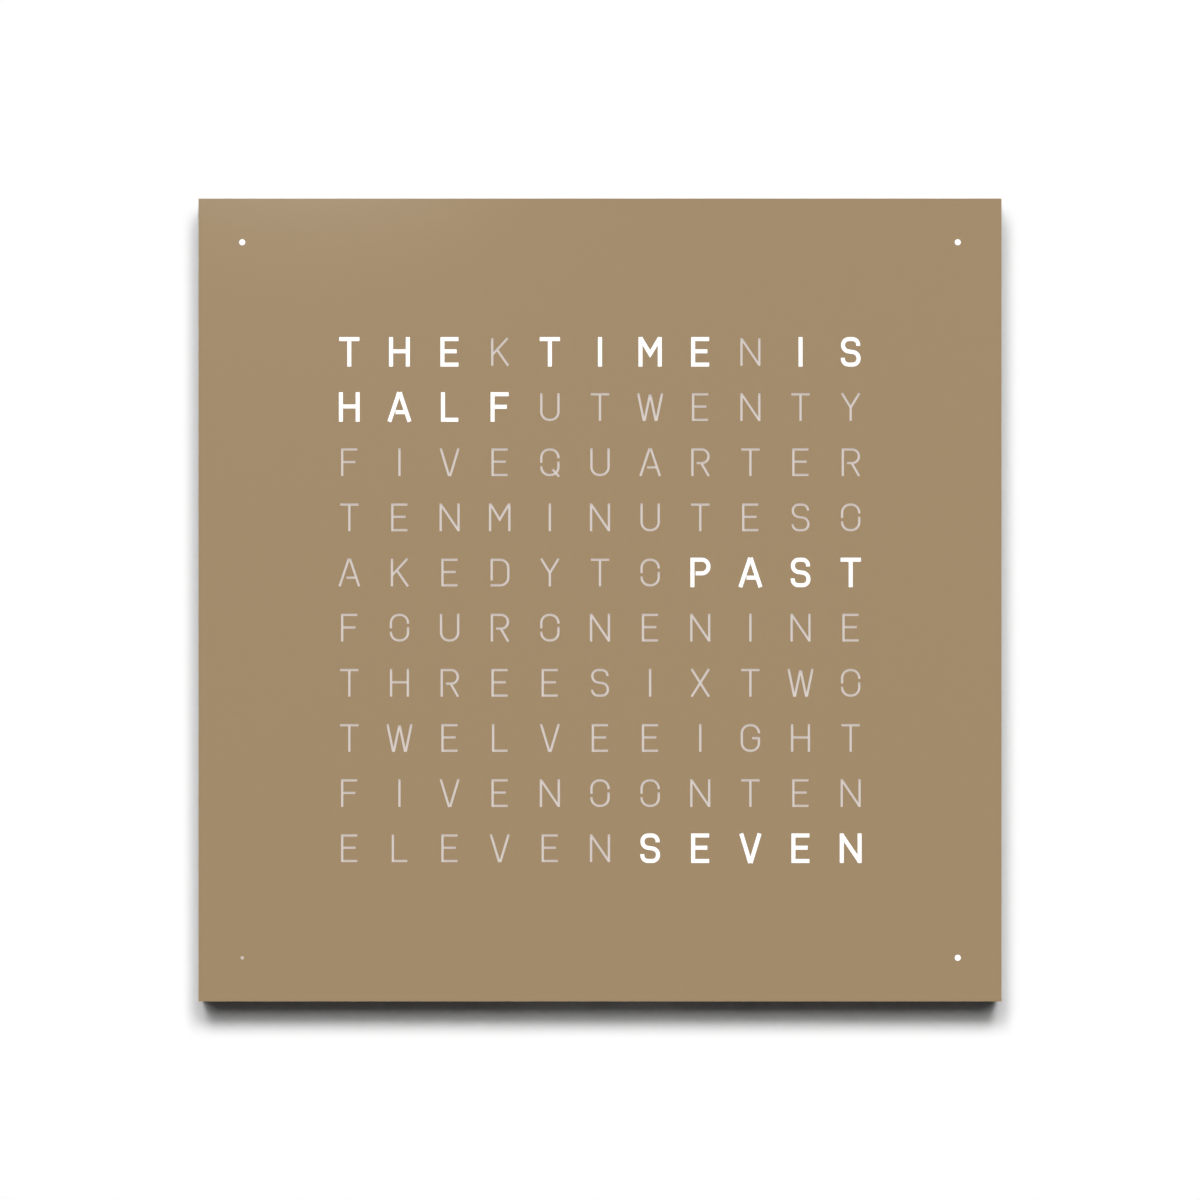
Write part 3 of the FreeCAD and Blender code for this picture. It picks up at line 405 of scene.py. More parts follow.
def cell(row, column):
    """The middle of a cell: across and up."""
    return (column - (COLUMNS - 1) / 2) * COLUMN, ((ROWS - 1) / 2 - row) * ROW


def lit_cells(finish):
    """1 in the lit cells and round the lit dots, else 0."""
    x, _, z = finish.axes()
    mask = 0.0
    for row, first, past in LIT_RUNS:
        left, up = cell(row, first)
        right, _ = cell(row, past - 1)
        run = x.near((left + right) / 2, (right - left + COLUMN) / 2)
        mask = run * z.near(up, ROW / 2) + mask
    for side, rise in LIT_DOTS:
        mask = x.near(side * DOT, DOT_REACH) * z.near(rise * DOT, DOT_REACH) + mask
    return mask


# painted light: the glow colour of a white piece in a lit cell, in place of the LED light it
# throws back
PAINTED_CELL_GLOW = (0.3, 0.29, 0.26)  # what a white piece in a lit cell throws back

# painted light: the grid glows in the lit cells
crate = Finish("white_grid_plastic", Emission_Strength=1.0)
crate.feed(
    Base_Color=crate.tint(crate.noise(30, 3), (0.74, 0.74, 0.72), (0.81, 0.81, 0.79)),
    Roughness=crate.blend(crate.noise(500, 2), 0.5, 0.64),
    Emission_Color=crate.tint(lit_cells(crate), (0, 0, 0), PAINTED_CELL_GLOW),
)
crate.relief(crate.noise(1600, 2), 0.02 * mm, 0.5)
dress("light_grid", crate, "grid_plastic")


# ---------------------------------------------------------------------------
# LED board
# A white circuit board with buried copper tracks along its rows, a tinned pad at each end of
# each LED, and small plated holes between the cells. The light grid's hooks snap round it,
# and a small board of the same kind sits behind each corner dot. In a lit cell the LED's light
# on the board is painted on as glow.
# ---------------------------------------------------------------------------

# painted light: the board's faces in front of this level glow in the lit cells
BOARD_FRONT = -7.0 * mm  # in front of this the LED board is lit


def circuit_board(name, mask_colour, track_colour, pitch_x, pitch_z, glow=False):
    """A lacquered board: the tracks run under the lacquer and stand up slightly. One that
    glows also has a pad at each end of an LED in the middle of each cell, and in a lit cell
    the LED's light on it is painted on as glow."""
    board = Finish(name, Coat_Weight=0.2)
    x, y, z = board.axes()
    across = abs(x.wrap(pitch_x, 0.0))
    up = abs(z.wrap(pitch_z, pitch_z / 2))
    supply, ground, branch = 4.2 * mm, 6.0 * mm, 8.4 * mm
    hole_x, hole_z, hole_half = 10.6 * mm, 10.2 * mm, 0.45 * mm
    pad_x, pad_half_x, pad_half_z = 1.55 * mm, 0.55 * mm, 1.55 * mm
    track = up.near(supply, 0.35 * mm) + up.near(ground, 0.2 * mm)
    track = track + across.near(branch, 0.25 * mm) * (up < supply)
    track = track.maths("MINIMUM", track, 1.0)
    hole = across.near(hole_x, hole_half) * up.near(hole_z, hole_half)
    metal = hole
    if glow:
        pad = across.near(pad_x, pad_half_x) * (up < pad_half_z)
        metal = pad.maths("MAXIMUM", pad, hole)
    darker = tuple(part * 0.93 for part in mask_colour)
    colour = board.tint(board.noise(40, 3), mask_colour, darker)
    colour = board.tint(track * 0.6, colour, track_colour)
    board.feed(
        Base_Color=board.tint(metal, colour, (0.62, 0.6, 0.55)),
        Metallic=metal,
        Roughness=board.blend(board.noise(300, 2), 0.3, 0.42),
    )
    board.relief(track, 0.035 * mm, 0.7)
    if glow:
        # painted light: glow in the lit cells, on the board's front only
        lit = lit_cells(board) * (y < BOARD_FRONT)
        board.feed(Emission_Color=board.tint(lit, (0, 0, 0), PAINTED_CELL_GLOW), Emission_Strength=1.0)
    return board


white_board = circuit_board(
    "white_board", (0.78, 0.78, 0.76), (0.66, 0.67, 0.64), COLUMN, ROW, glow=True
)
dress("led_board", white_board, "white_board")
dress("minute_led_boards", white_board, "white_board")


# ---------------------------------------------------------------------------
# LEDs
# Each is a white ceramic-filled plastic block with a well of yellow phosphor gel and a tinned
# terminal wrapped round each end, soldered to its board. The lit ones shine from their phosphor,
# and the light on their plastic round it is painted on as glow.
# ---------------------------------------------------------------------------

LED = Vector((3.5, 1.6, 2.8)) * mm  # across, deep and high
LED_TOP = -9.6 * mm
RIM = 0.55 * mm
WELL = 0.35 * mm  # how deep the phosphor lies
TERMINAL = 0.42 * mm  # how far a terminal reaches over the front

# painted light: a lit LED's plastic glows, in place of the light that its phosphor throws on it
led_plastic = Finish("led_plastic", Emission_Strength=1.0)
led_plastic.feed(
    Base_Color=led_plastic.tint(led_plastic.noise(900), (0.8, 0.8, 0.77), (0.72, 0.72, 0.69)),
    Roughness=led_plastic.blend(led_plastic.noise(1500), 0.35, 0.5),
    Emission_Color=led_plastic.tint(lit_cells(led_plastic), (0, 0, 0), (0.75, 0.73, 0.66)),
)
phosphor = Finish("phosphor_gel", Emission_Strength=6.0)
phosphor.feed(
    Base_Color=phosphor.tint(phosphor.noise(2500), (0.78, 0.6, 0.1), (0.84, 0.7, 0.2)),
    Roughness=phosphor.blend(phosphor.noise(1500), 0.15, 0.3),
    Emission_Color=phosphor.tint(lit_cells(phosphor), (0, 0, 0), (1.0, 0.97, 0.88)),
)
tin = Finish("tin", Metallic=1.0)
tin.feed(
    Base_Color=tin.tint(tin.noise(1800), (0.62, 0.61, 0.58), (0.74, 0.73, 0.7)),
    Roughness=tin.blend(tin.noise(2600), 0.22, 0.45),
)


def edit(kind):
    """Opens the active mesh for editing, to select by VERT or FACE."""
    bpy.ops.object.mode_set(mode="EDIT")
    bpy.ops.mesh.select_mode(type=kind)


def select(obj, wanted, kind="FACE"):
    """Selects the faces, or vertices, for which wanted says yes, and leaves edit mode on."""
    bpy.ops.object.mode_set(mode="OBJECT")
    for group in (obj.data.vertices, obj.data.edges, obj.data.polygons):
        group.foreach_set("select", [False] * len(group))
    for item in obj.data.polygons if kind == "FACE" else obj.data.vertices:
        item.select = wanted(item)
    edit(kind)


def paint(obj, index, wanted):
    """Gives the faces for which wanted says yes another of the piece's finishes."""
    bpy.ops.object.mode_set(mode="OBJECT")
    for face in obj.data.polygons:
        if wanted(face):
            face.material_index = index


def brick(name, low, high):
    """A block between two corners, the start of a piece."""
    low, high = Vector(low), Vector(high)
    bpy.ops.object.select_all(action="DESELECT")
    bpy.ops.mesh.primitive_cube_add(size=1, location=(low + high) / 2, scale=high - low)
    obj = settle(bpy.context.object)
    obj.name = name
    return obj


def copies(obj, places):
    """Copies of a model at the places given, as one object that takes the model's place."""
    made = []
    for place in places:
        only(obj)
        bpy.ops.object.duplicate()
        made.append(bpy.context.object)
        made[-1].location = place
    name = obj.name
    bpy.data.objects.remove(obj)
    return joined(name, made)


def joined(name, parts):
    """One object made of several, with its origin in the frame's origin."""
    bpy.ops.object.select_all(action="DESELECT")
    for part in parts:
        part.select_set(True)
    bpy.context.view_layer.objects.active = parts[0]
    if len(parts) > 1:
        bpy.ops.object.join()
    obj = bpy.context.object
    obj.name = name
    return settle(obj)


def slice_at(spot, normal):
    """Cuts all of the active mesh's faces along a plane."""
    edit_all()
    bpy.ops.mesh.bisect(plane_co=spot, plane_no=normal)
    bpy.ops.object.mode_set(mode="OBJECT")


def led(name):
    """One LED with its middle at X 0 and Z 0, facing the front."""
    obj = brick(name, (-LED.x / 2, LED_TOP, -LED.z / 2), (LED.x / 2, LED_TOP + LED.y, LED.z / 2))
    select(obj, lambda face: face.normal.y < -0.9)
    bpy.ops.mesh.inset(thickness=RIM)
    bpy.ops.mesh.extrude_region_move(TRANSFORM_OT_translate={"value": (0, WELL, 0)})
    bpy.ops.transform.resize(value=(0.8, 1, 0.8), center_override=(0, 0, 0))
    bpy.ops.object.mode_set(mode="OBJECT")
    terminal_edge = LED.x / 2 - TERMINAL
    for side in (-1, 1):
        slice_at((side * terminal_edge, 0, 0), (1, 0, 0))
    for finish in (led_plastic, phosphor, tin):
        obj.data.materials.append(finish.material)
    paint(obj, 1, lambda face: face.normal.y < -0.9 and face.center.y > LED_TOP + WELL / 2)
    paint(obj, 2, lambda face: abs(face.center.x) > terminal_edge)
    return obj


grid_places = [cell(row, column) for row in range(ROWS) for column in range(COLUMNS)]
letter_leds = copies(led("letter_led_set"), [(x, 0, z) for x, z in grid_places])
finished(letter_leds, "clock_body", "led_package")
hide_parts("letter_leds")
dots = [(side * DOT, 0, rise * DOT) for side in (-1, 1) for rise in (-1, 1)]
minute_leds = copies(led("minute_led_set"), dots)
finished(minute_leds, "clock_body", "led_package")
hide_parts("minute_leds")


# ---------------------------------------------------------------------------
# Light sensor
# A photodiode in clear resin, soldered to the LED board beside one LED. Its dark silicon
# shows in the middle. It dims the clock in a dark room.
# ---------------------------------------------------------------------------

low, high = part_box("light_sensor")
middle = (low + high) / 2
half_silicon = 0.55 * mm
resin = Finish("clear_resin", Coat_Weight=0.5)
x, _, z = resin.axes()
silicon = x.near(middle.x, half_silicon) * z.near(middle.z, half_silicon)
resin.feed(
    Base_Color=resin.tint(silicon, (0.5, 0.47, 0.36), (0.02, 0.02, 0.03)),
    Roughness=resin.blend(resin.noise(2500), 0.08, 0.2),
)
rounded_copy("light_sensor", "light_sensor_resin", 0.12 * mm, "led_package", resin)


# ---------------------------------------------------------------------------
# Chips
# Black moulded packages with rows of tinned legs that are bent down onto the board. The
# LED board's three drivers sit on its back, the processor and the clock chip on the
# controller.
# ---------------------------------------------------------------------------

LEG_THICKNESS = 0.14 * mm
LEG_REACH = 0.9 * mm  # room for the legs beside the package
LEG_LENGTH = LEG_REACH * 0.97
LEG_SHARE = 0.42  # of the pitch that a leg is wide
UNDER_CHIP = 0.12 * mm  # gap between a package and its board

black_resin = Finish("black_resin")
black_resin.feed(
    Base_Color=black_resin.tint(
        black_resin.noise(900), (0.02, 0.02, 0.021), (0.033, 0.033, 0.034)
    ),
    Roughness=black_resin.blend(black_resin.noise(1200), 0.5, 0.68),
)
black_resin.relief(black_resin.noise(3000), 0.02 * mm, 0.4)


def leg(start, drop, length, width):
    """A strip that runs up from start, with a bend that takes it to the board."""
    bpy.ops.object.select_all(action="DESELECT")
    bpy.ops.mesh.primitive_plane_add(size=width, location=start)
    obj = settle(bpy.context.object)
    edit("VERT")
    bpy.ops.mesh.select_all(action="SELECT")
    bpy.ops.transform.resize(value=(1, 0, 1), center_override=start)
    bpy.ops.mesh.remove_doubles(threshold=0.001 * mm)
    for step in ((0, 0, length * 0.3), (0, drop, length * 0.1), (0, 0, length * 0.6)):
        bpy.ops.mesh.extrude_region_move(TRANSFORM_OT_translate={"value": step})
    bpy.ops.object.mode_set(mode="OBJECT")
    sheet = obj.modifiers.new("thickness", "SOLIDIFY")
    sheet.thickness = LEG_THICKNESS
    sheet.offset = 0
    bpy.ops.object.modifier_apply(modifier=sheet.name)
    return obj


def chip(name, low, high, board_side, count, pitch, four_sides=False):
    """A package with its legs at the top and the bottom of a box, or all round it.
    board_side is 1 where the board lies behind the chip, and -1 where it lies in front."""
    low, high = Vector(low), Vector(high)
    middle = (low + high) / 2
    leg_room = Vector((LEG_REACH if four_sides else 0.02 * mm, 0, LEG_REACH))
    case_low = low + leg_room
    case_high = high - leg_room
    if board_side > 0:
        case_high.y -= UNDER_CHIP
    else:
        case_low.y += UNDER_CHIP
    case = brick(name, case_low, case_high)
    soften(case, 0.12 * mm)
    case.data.materials.append(black_resin.material)
    foot = (high.y if board_side > 0 else low.y) - board_side * LEG_THICKNESS / 2
    drop = foot - middle.y
    edge = (high.z - low.z) / 2 - LEG_REACH
    legs = []
    for turn in (0, 1, 2, 3) if four_sides else (0, 2):
        for number in range(count):
            x = (number - (count - 1) / 2) * pitch
            strip = leg((x, middle.y, edge), drop, LEG_LENGTH, pitch * LEG_SHARE)
            strip.rotation_euler = (0, turn * math.pi / 2, 0)
            strip.location.x += middle.x
            strip.location.z += middle.z
            strip.data.materials.append(tin.material)
            legs.append(settle(strip))
    return joined(name, [case] + legs)


low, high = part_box("led_driver_chips")
width = 8.2 * mm
drivers = []
for number in range(3):
    left = low.x + number * (high.x - low.x - width) / 2
    corners = (left, low.y, low.z), (left + width, high.y, high.z)
    drivers.append(chip(f"driver_{number}", *corners, -1, 8, 0.95 * mm))
drivers = joined("led_driver_set", drivers)
finished(drivers, "clock_body", "chip_black")
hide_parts("led_driver_chips")

processor = chip("processor", *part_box("processor_chip"), 1, 11, 0.75 * mm, four_sides=True)
finished(processor, "clock_body", "chip_black")
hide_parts("processor_chip")
timekeeper = chip("timekeeper", *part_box("clock_chip"), 1, 4, 1.2 * mm)
finished(timekeeper, "clock_body", "chip_black")
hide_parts("clock_chip")


# ---------------------------------------------------------------------------
# Leads to the corner dots
# Flat two-core leads, stranded copper in soft plastic, one core red and one black. Each lies
# in a groove of the frame and is soldered to a board at both ends.
# ---------------------------------------------------------------------------

core_skin = Finish("two_core_lead")
x, _, z = core_skin.axes()
beside = (abs(x) - abs(z)) * math.sqrt(0.5)  # distance from the line between the cores
core_skin.feed(
    Base_Color=core_skin.tint(beside > 0.0, (0.42, 0.02, 0.015), (0.018, 0.018, 0.019)),
    Roughness=core_skin.blend(core_skin.noise(700), 0.36, 0.5),
)
core_skin.relief(abs(beside), 1.0, 0.9)
rounded_copy("minute_led_leads", "corner_leads", 0.35 * mm, "ribbon", core_skin, 3)


# ---------------------------------------------------------------------------
# Controller board and what it carries
# Green circuit board on the bay's ledges, with a steel crystal can, a coin cell in its
# moulded holder, the barrel socket with its brass pin, and the switches along its lower edge.
# ---------------------------------------------------------------------------

green_board = circuit_board(
    "green_board", (0.012, 0.12, 0.05), (0.02, 0.2, 0.075), 22 * mm, 24 * mm
)
dress("controller_board", green_board, "green_board")

can_steel = Finish("can_steel", Metallic=1.0)
can_steel.feed(
    Base_Color=can_steel.tint(can_steel.noise(400), (0.5, 0.5, 0.49), (0.62, 0.61, 0.6)),
    Roughness=can_steel.blend(can_steel.noise(1400, stretch=(1, 1, 0.08)), 0.18, 0.42),
)
rounded_copy("clock_crystal", "crystal_can", 0.45 * mm, "cell_steel", can_steel, 3)


def moulded(name, dark, light, rough=(0.42, 0.55), grain=1300):
    """Injection-moulded plastic with a fine spark-eroded surface."""
    plastic = Finish(name)
    plastic.feed(
        Base_Color=plastic.tint(plastic.noise(grain / 3), dark, light),
        Roughness=plastic.blend(plastic.noise(grain), *rough),
    )
    plastic.relief(plastic.noise(grain * 1.8, 1), 0.03 * mm, 0.5)
    return plastic


holder_plastic = moulded("holder_plastic", (0.02, 0.02, 0.021), (0.03, 0.03, 0.031))
rounded_copy("battery_holder", "coin_cell_holder", 0.25 * mm, "socket_plastic", holder_plastic)

rim, groove, step = 1.0 * mm, 0.25 * mm, 0.12 * mm
low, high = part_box("backup_battery")
middle = (low + high) / 2
bpy.ops.object.select_all(action="DESELECT")
bpy.ops.mesh.primitive_cylinder_add(
    vertices=64,
    radius=(high.x - low.x) / 2,
    depth=high.y - low.y,
    location=middle,
    rotation=(math.pi / 2, 0, 0),
)
coin = settle(bpy.context.object)
coin.name = "coin_cell"
select(coin, lambda face: face.normal.y < -0.9)
bpy.ops.mesh.inset(thickness=rim)
bpy.ops.mesh.inset(thickness=groove)
bpy.ops.transform.translate(value=(0, step, 0))
bpy.ops.object.mode_set(mode="OBJECT")
soften(coin, 0.18 * mm, 3)
coin_steel = Finish("coin_steel", Metallic=1.0)
x, _, z = coin_steel.axes()
aside = x - middle.x
above = z - middle.z
squared = aside * aside + above * above
radius = squared.maths("SQRT", squared)
coin_steel.feed(
    Base_Color=coin_steel.tint(coin_steel.noise(600), (0.6, 0.6, 0.59), (0.7, 0.7, 0.69)),
    Roughness=coin_steel.blend(coin_steel.noise(900, 2), 0.2, 0.4),
)
coin_steel.relief(radius.maths("SINE", radius * 30000), 0.004 * mm, 0.5)
finished(coin, "clock_body", "cell_steel", coin_steel)
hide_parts("backup_battery")

jack_plastic = moulded("jack_plastic", (0.017, 0.017, 0.018), (0.026, 0.026, 0.027))
rounded_copy("power_jack", "barrel_socket", 0.2 * mm, "jack_plastic", jack_plastic)
brass = Finish("brass", Metallic=1.0)
brass.feed(
    Base_Color=brass.tint(brass.noise(900), (0.78, 0.6, 0.27), (0.86, 0.7, 0.36)),
    Roughness=brass.blend(brass.noise(1500), 0.14, 0.3),
)
rounded_copy("power_jack_pin", "socket_pin", 0.12 * mm, "pin_metal", brass)

switch_plastic = moulded("switch_plastic", (0.022, 0.022, 0.023), (0.034, 0.034, 0.035))
rounded_copy("tact_switches", "switch_housings", 0.2 * mm, "socket_plastic", switch_plastic)
stem_plastic = moulded("stem_plastic", (0.5, 0.46, 0.38), (0.58, 0.54, 0.46))
KEYS = ("minute", "hour", "light", "mode")
for key in KEYS:
    rounded_copy(f"{key}_switch_stem", f"{key}_stem", 0.12 * mm, "stem_plastic", stem_plastic)


# ---------------------------------------------------------------------------
# Screws
# Zinc-plated self-tapping screws, rolled thread and cross recess: two pan heads hold the
# controller, eight countersunk ones the rear cover.
# ---------------------------------------------------------------------------

SHANK = 1.3 * mm  # radius over the thread
CORE = 0.95 * mm  # radius under it
THREAD_PITCH = 0.9 * mm
POINT = 1.4 * mm  # how long the point is
RECESS = 1.05 * mm  # half the cross's width
SLOT = 0.22 * mm  # half the width of one slot of it

zinc = Finish("zinc_plate", Metallic=1.0)
zinc.feed(
    Base_Color=zinc.tint(zinc.noise(1200), (0.5, 0.51, 0.53), (0.63, 0.64, 0.66)),
    Roughness=zinc.blend(zinc.noise(1700), 0.24, 0.42),
)


def tapered(name, start, finish, radius_start, radius_finish, sides=28):
    """A round section along Y, from one level to another that lies in front of it."""
    bpy.ops.object.select_all(action="DESELECT")
    bpy.ops.mesh.primitive_cone_add(
        vertices=sides,
        radius1=radius_start,
        radius2=radius_finish,
        depth=start - finish,
        location=(0, (start + finish) / 2, 0),
        rotation=(math.pi / 2, 0, 0),
    )
    obj = settle(bpy.context.object)
    obj.name = name
    return obj


def face_outwards():
    """Turns all faces of the active mesh to its outside."""
    edit_all()
    bpy.ops.mesh.normals_make_consistent(inside=False)
    bpy.ops.object.mode_set(mode="OBJECT")


def thread(start, finish):
    """A three-sided ridge wound round the shank."""
    turns = round((start - finish) / THREAD_PITCH)
    ridge = (SHANK - CORE) * 0.75  # from the middle of its section to a corner
    middle_radius = CORE + 0.08 * mm
    bpy.ops.object.select_all(action="DESELECT")
    bpy.ops.mesh.primitive_circle_add(
        vertices=3, radius=ridge, fill_type="NOTHING", location=(middle_radius, start, 0)
    )
    obj = settle(bpy.context.object)
    wound = obj.modifiers.new("thread", "SCREW")
    wound.axis = "Y"
    wound.steps = wound.render_steps = 18
    wound.screw_offset = (finish - start) / turns
    wound.iterations = turns
    bpy.ops.object.modifier_apply(modifier=wound.name)
    edit_all()
    bpy.ops.mesh.fill_holes(sides=3)
    face_outwards()
    return obj


def cut(obj, tool, operation="DIFFERENCE"):
    """Cuts a tool out of obj, or adds it, and puts the tool away."""
    only(obj)
    hole = obj.modifiers.new("cut", "BOOLEAN")
    hole.operation = operation
    hole.solver = "EXACT"
    hole.object = tool
    bpy.ops.object.modifier_apply(modifier=hole.name)
    bpy.data.objects.remove(tool)


def cross_recess(obj, level):
    """A crossed slot, narrower at its floor, in a head whose top is at level."""
    for turn in (0, 1):
        tool = brick("driver", (-RECESS, level - RECESS, -SLOT), (RECESS, level + RECESS, SLOT))
        select(tool, lambda face: face.normal.y < -0.9)
        bpy.ops.transform.resize(value=(0.35, 1, 0.7), center_override=(0, 0, 0))
        bpy.ops.object.mode_set(mode="OBJECT")
        tool.rotation_euler = (0, turn * math.pi / 2, 0)
        cut(obj, settle(tool))


def screw(name, top, under, tip, top_radius, under_radius):
    """A screw whose head reaches from top to under, as levels, and is as wide as the radii."""
    head = tapered(name, top, under, top_radius, under_radius)
    soften(head, 0.12 * mm, angle=60)
    cross_recess(head, top)
    shoulder = tip + POINT - 0.1 * mm
    shank = tapered("shank", under + 0.3 * mm, shoulder, CORE, CORE, 20)
    point = tapered("point", tip + POINT, tip, CORE, 0.12 * mm, 20)
    return joined(name, [head, shank, point, thread(under + 0.1 * mm, shoulder)])


low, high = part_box("controller_screws")
head_radius = 2.3 * mm
head_height = 1.4 * mm
level = (low.z + high.z) / 2
pan = screw(
    "controller_screw_pair", high.y, high.y - head_height, low.y, head_radius * 0.96, head_radius
)
pan_screws = copies(pan, [(x, 0, level) for x in (low.x + head_radius, high.x - head_radius)])
finished(pan_screws, "clock_body", "screw_steel", zinc)
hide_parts("controller_screws")

low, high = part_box("rear_cover_screws")
head_radius = 2.7 * mm
sink = 1.5 * mm
row = high.x - head_radius  # from the clock's middle to a row of two screws
along = 130.0 * mm  # from the middle of the row to a screw
sunk_places = []
for side in (-1, 1):
    for end in (-1, 1):
        sunk_places += [(end * along, 0, side * row), (side * row, 0, end * along)]
sunk = screw("rear_screw_set", high.y, high.y - sink, low.y, head_radius, SHANK)
sunk_screws = copies(sunk, sunk_places)
finished(sunk_screws, "clock_body", "screw_steel", zinc)
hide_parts("rear_cover_screws")


# ---------------------------------------------------------------------------
# Edge panel and keys
# A black moulded panel fills the window in the frame's lower edge, with the plug hole in
# its middle. Four moulded keys stand out of it, held by their collars; their ends are dished.
# ---------------------------------------------------------------------------

panel_plastic = moulded("panel_plastic", (0.02, 0.02, 0.021), (0.03, 0.03, 0.031), (0.4, 0.5))
rounded_copy("edge_panel", "edge_panel_moulding", 0.25 * mm, "panel_plastic", panel_plastic)

key_plastic = moulded(
    "key_plastic", (0.045, 0.045, 0.047), (0.06, 0.06, 0.062), (0.3, 0.42), 2000
)
shaft = Vector((3.0, 1.6, 0)) * mm  # half its width and half its depth
collar = Vector((4.2, 2.6, 0)) * mm
collar_height = 1.2 * mm
rim, dish = 0.7 * mm, 0.25 * mm
for key in KEYS:
    low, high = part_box(f"{key}_button")
    middle = (low + high) / 2
    foot = Vector((middle.x, middle.y, low.z))
    ledge = Vector((middle.x, middle.y, high.z - collar_height))
    top = Vector((middle.x, middle.y, high.z))
    obj = brick(f"{key}_key", foot - shaft, ledge + shaft)
    select(obj, lambda face: face.normal.z < -0.9)
    bpy.ops.mesh.inset(thickness=rim)
    bpy.ops.transform.translate(value=(0, 0, dish))
    bpy.ops.object.mode_set(mode="OBJECT")
    flange = brick("flange", ledge - collar, top + collar)
    soften(obj, 0.35 * mm, 3)
    soften(flange, 0.2 * mm)
    obj = joined(f"{key}_key", [obj, flange])
    finished(obj, f"{key}_key", "key_plastic", key_plastic)
    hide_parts(f"{key}_button")


# ---------------------------------------------------------------------------
# Ribbon cable and its sockets
# A flat flexible cable of white polyester with copper strips inside, pushed into an
# ivory socket on each board.
# ---------------------------------------------------------------------------

ivory = moulded("ivory_plastic", (0.66, 0.62, 0.52), (0.72, 0.68, 0.58), (0.4, 0.55))
rounded_copy("cable_sockets", "ribbon_sockets", 0.2 * mm, "socket_plastic", ivory)
strip_pitch, strip_half = 1.0 * mm, 0.32 * mm
polyester = Finish("ribbon_polyester")
x, _, _ = polyester.axes()
strips = abs(x.wrap(strip_pitch, 0.0)) < strip_half
polyester.feed(
    Base_Color=polyester.tint(strips, (0.72, 0.71, 0.67), (0.55, 0.47, 0.38)),
    Roughness=polyester.blend(polyester.noise(500), 0.28, 0.42),
)
polyester.relief(strips, 0.04 * mm, 0.6)
dress("led_cable", polyester, "ribbon")


# ---------------------------------------------------------------------------
# Rear cover
# Aluminium sheet, brushed and clear anodised, with two keyholes for the wall screws. It is
# screwed into the frame's rebate.
# ---------------------------------------------------------------------------

anodised = Finish("anodised_aluminium", Metallic=1.0)
brushing = anodised.noise(900, 3, stretch=(0.02, 1, 1))
anodised.feed(
    Base_Color=anodised.tint(brushing, (0.44, 0.445, 0.45), (0.58, 0.585, 0.59)),
    Roughness=anodised.blend(brushing, 0.3, 0.46),
)
anodised.relief(brushing, 0.01 * mm, 0.6)
dress("rear_cover", anodised, "rear_aluminium")


# ---------------------------------------------------------------------------
# Diffuser sheet
# Opal acrylic glued behind the cover. Its front is painted with white glow where a cell behind
# it is lit, for the LEDs' light that shines through it, and elsewhere with a faint warm grey
# glow over a dark grey front, which makes it show pale grey through the letters.
# ---------------------------------------------------------------------------

COVER_BACK = -18.5 * mm

opal = Finish("opal_acrylic", Emission_Strength=1.0)
_, y, _ = opal.axes()
front = y < COVER_BACK + 0.2 * mm
plain = opal.tint(opal.noise(15, 3), (0.78, 0.775, 0.76), (0.83, 0.825, 0.81))
# painted light: the front glows faintly so that unlit letters look pale, and white in the lit
# cells; under the glow its own colour is dark grey
painted_unlit_glow = opal.tint(front, (0.01, 0.01, 0.01), (0.5, 0.437, 0.4))
opal.feed(
    Base_Color=opal.tint(front, plain, (0.17, 0.168, 0.165)),
    Roughness=opal.blend(opal.noise(800), 0.38, 0.5),
    Emission_Color=opal.tint(lit_cells(opal) * front, painted_unlit_glow, (1.0, 1.0, 1.0)),
)
dress("diffuser_sheet", opal, "opal_plastic")


# ---------------------------------------------------------------------------
# Front cover
# Steel sheet, laser-cut with a letter in each cell and a dot at each corner, its edges rounded,
# and powder coated. A letter is cut in strokes of one width, with bridges to the parts that
# would fall out. Magnets hold the sheet. Round each lit letter and dot a shallow ring of the
# coat, and the walls of its cut, are painted with glow, in place of the light that spreads from
# it.
# ---------------------------------------------------------------------------

STROKE = 1.3 * mm
# painted light: GLOW, GLOW_DEPTH and DOT_GLOW_RADIUS size the shallow glowing ring round lit
# strokes and dots
GLOW = 0.48 * mm  # how far light spreads over the coat beyond a lit stroke
GLOW_DEPTH = 0.05 * mm
DOT_HOLE = 1.0 * mm  # radius of a corner dot, and of the light round a lit one
DOT_GLOW_RADIUS = 1.72 * mm
TOP = 7.8  # from a letter's middle to a stroke's end, in millimetres like the others below
BAR = 7.15  # to the middle of a level stroke
SIDE = 4.8  # to the middle of a round letter's side
BEND = 4.4  # rounding of a round letter

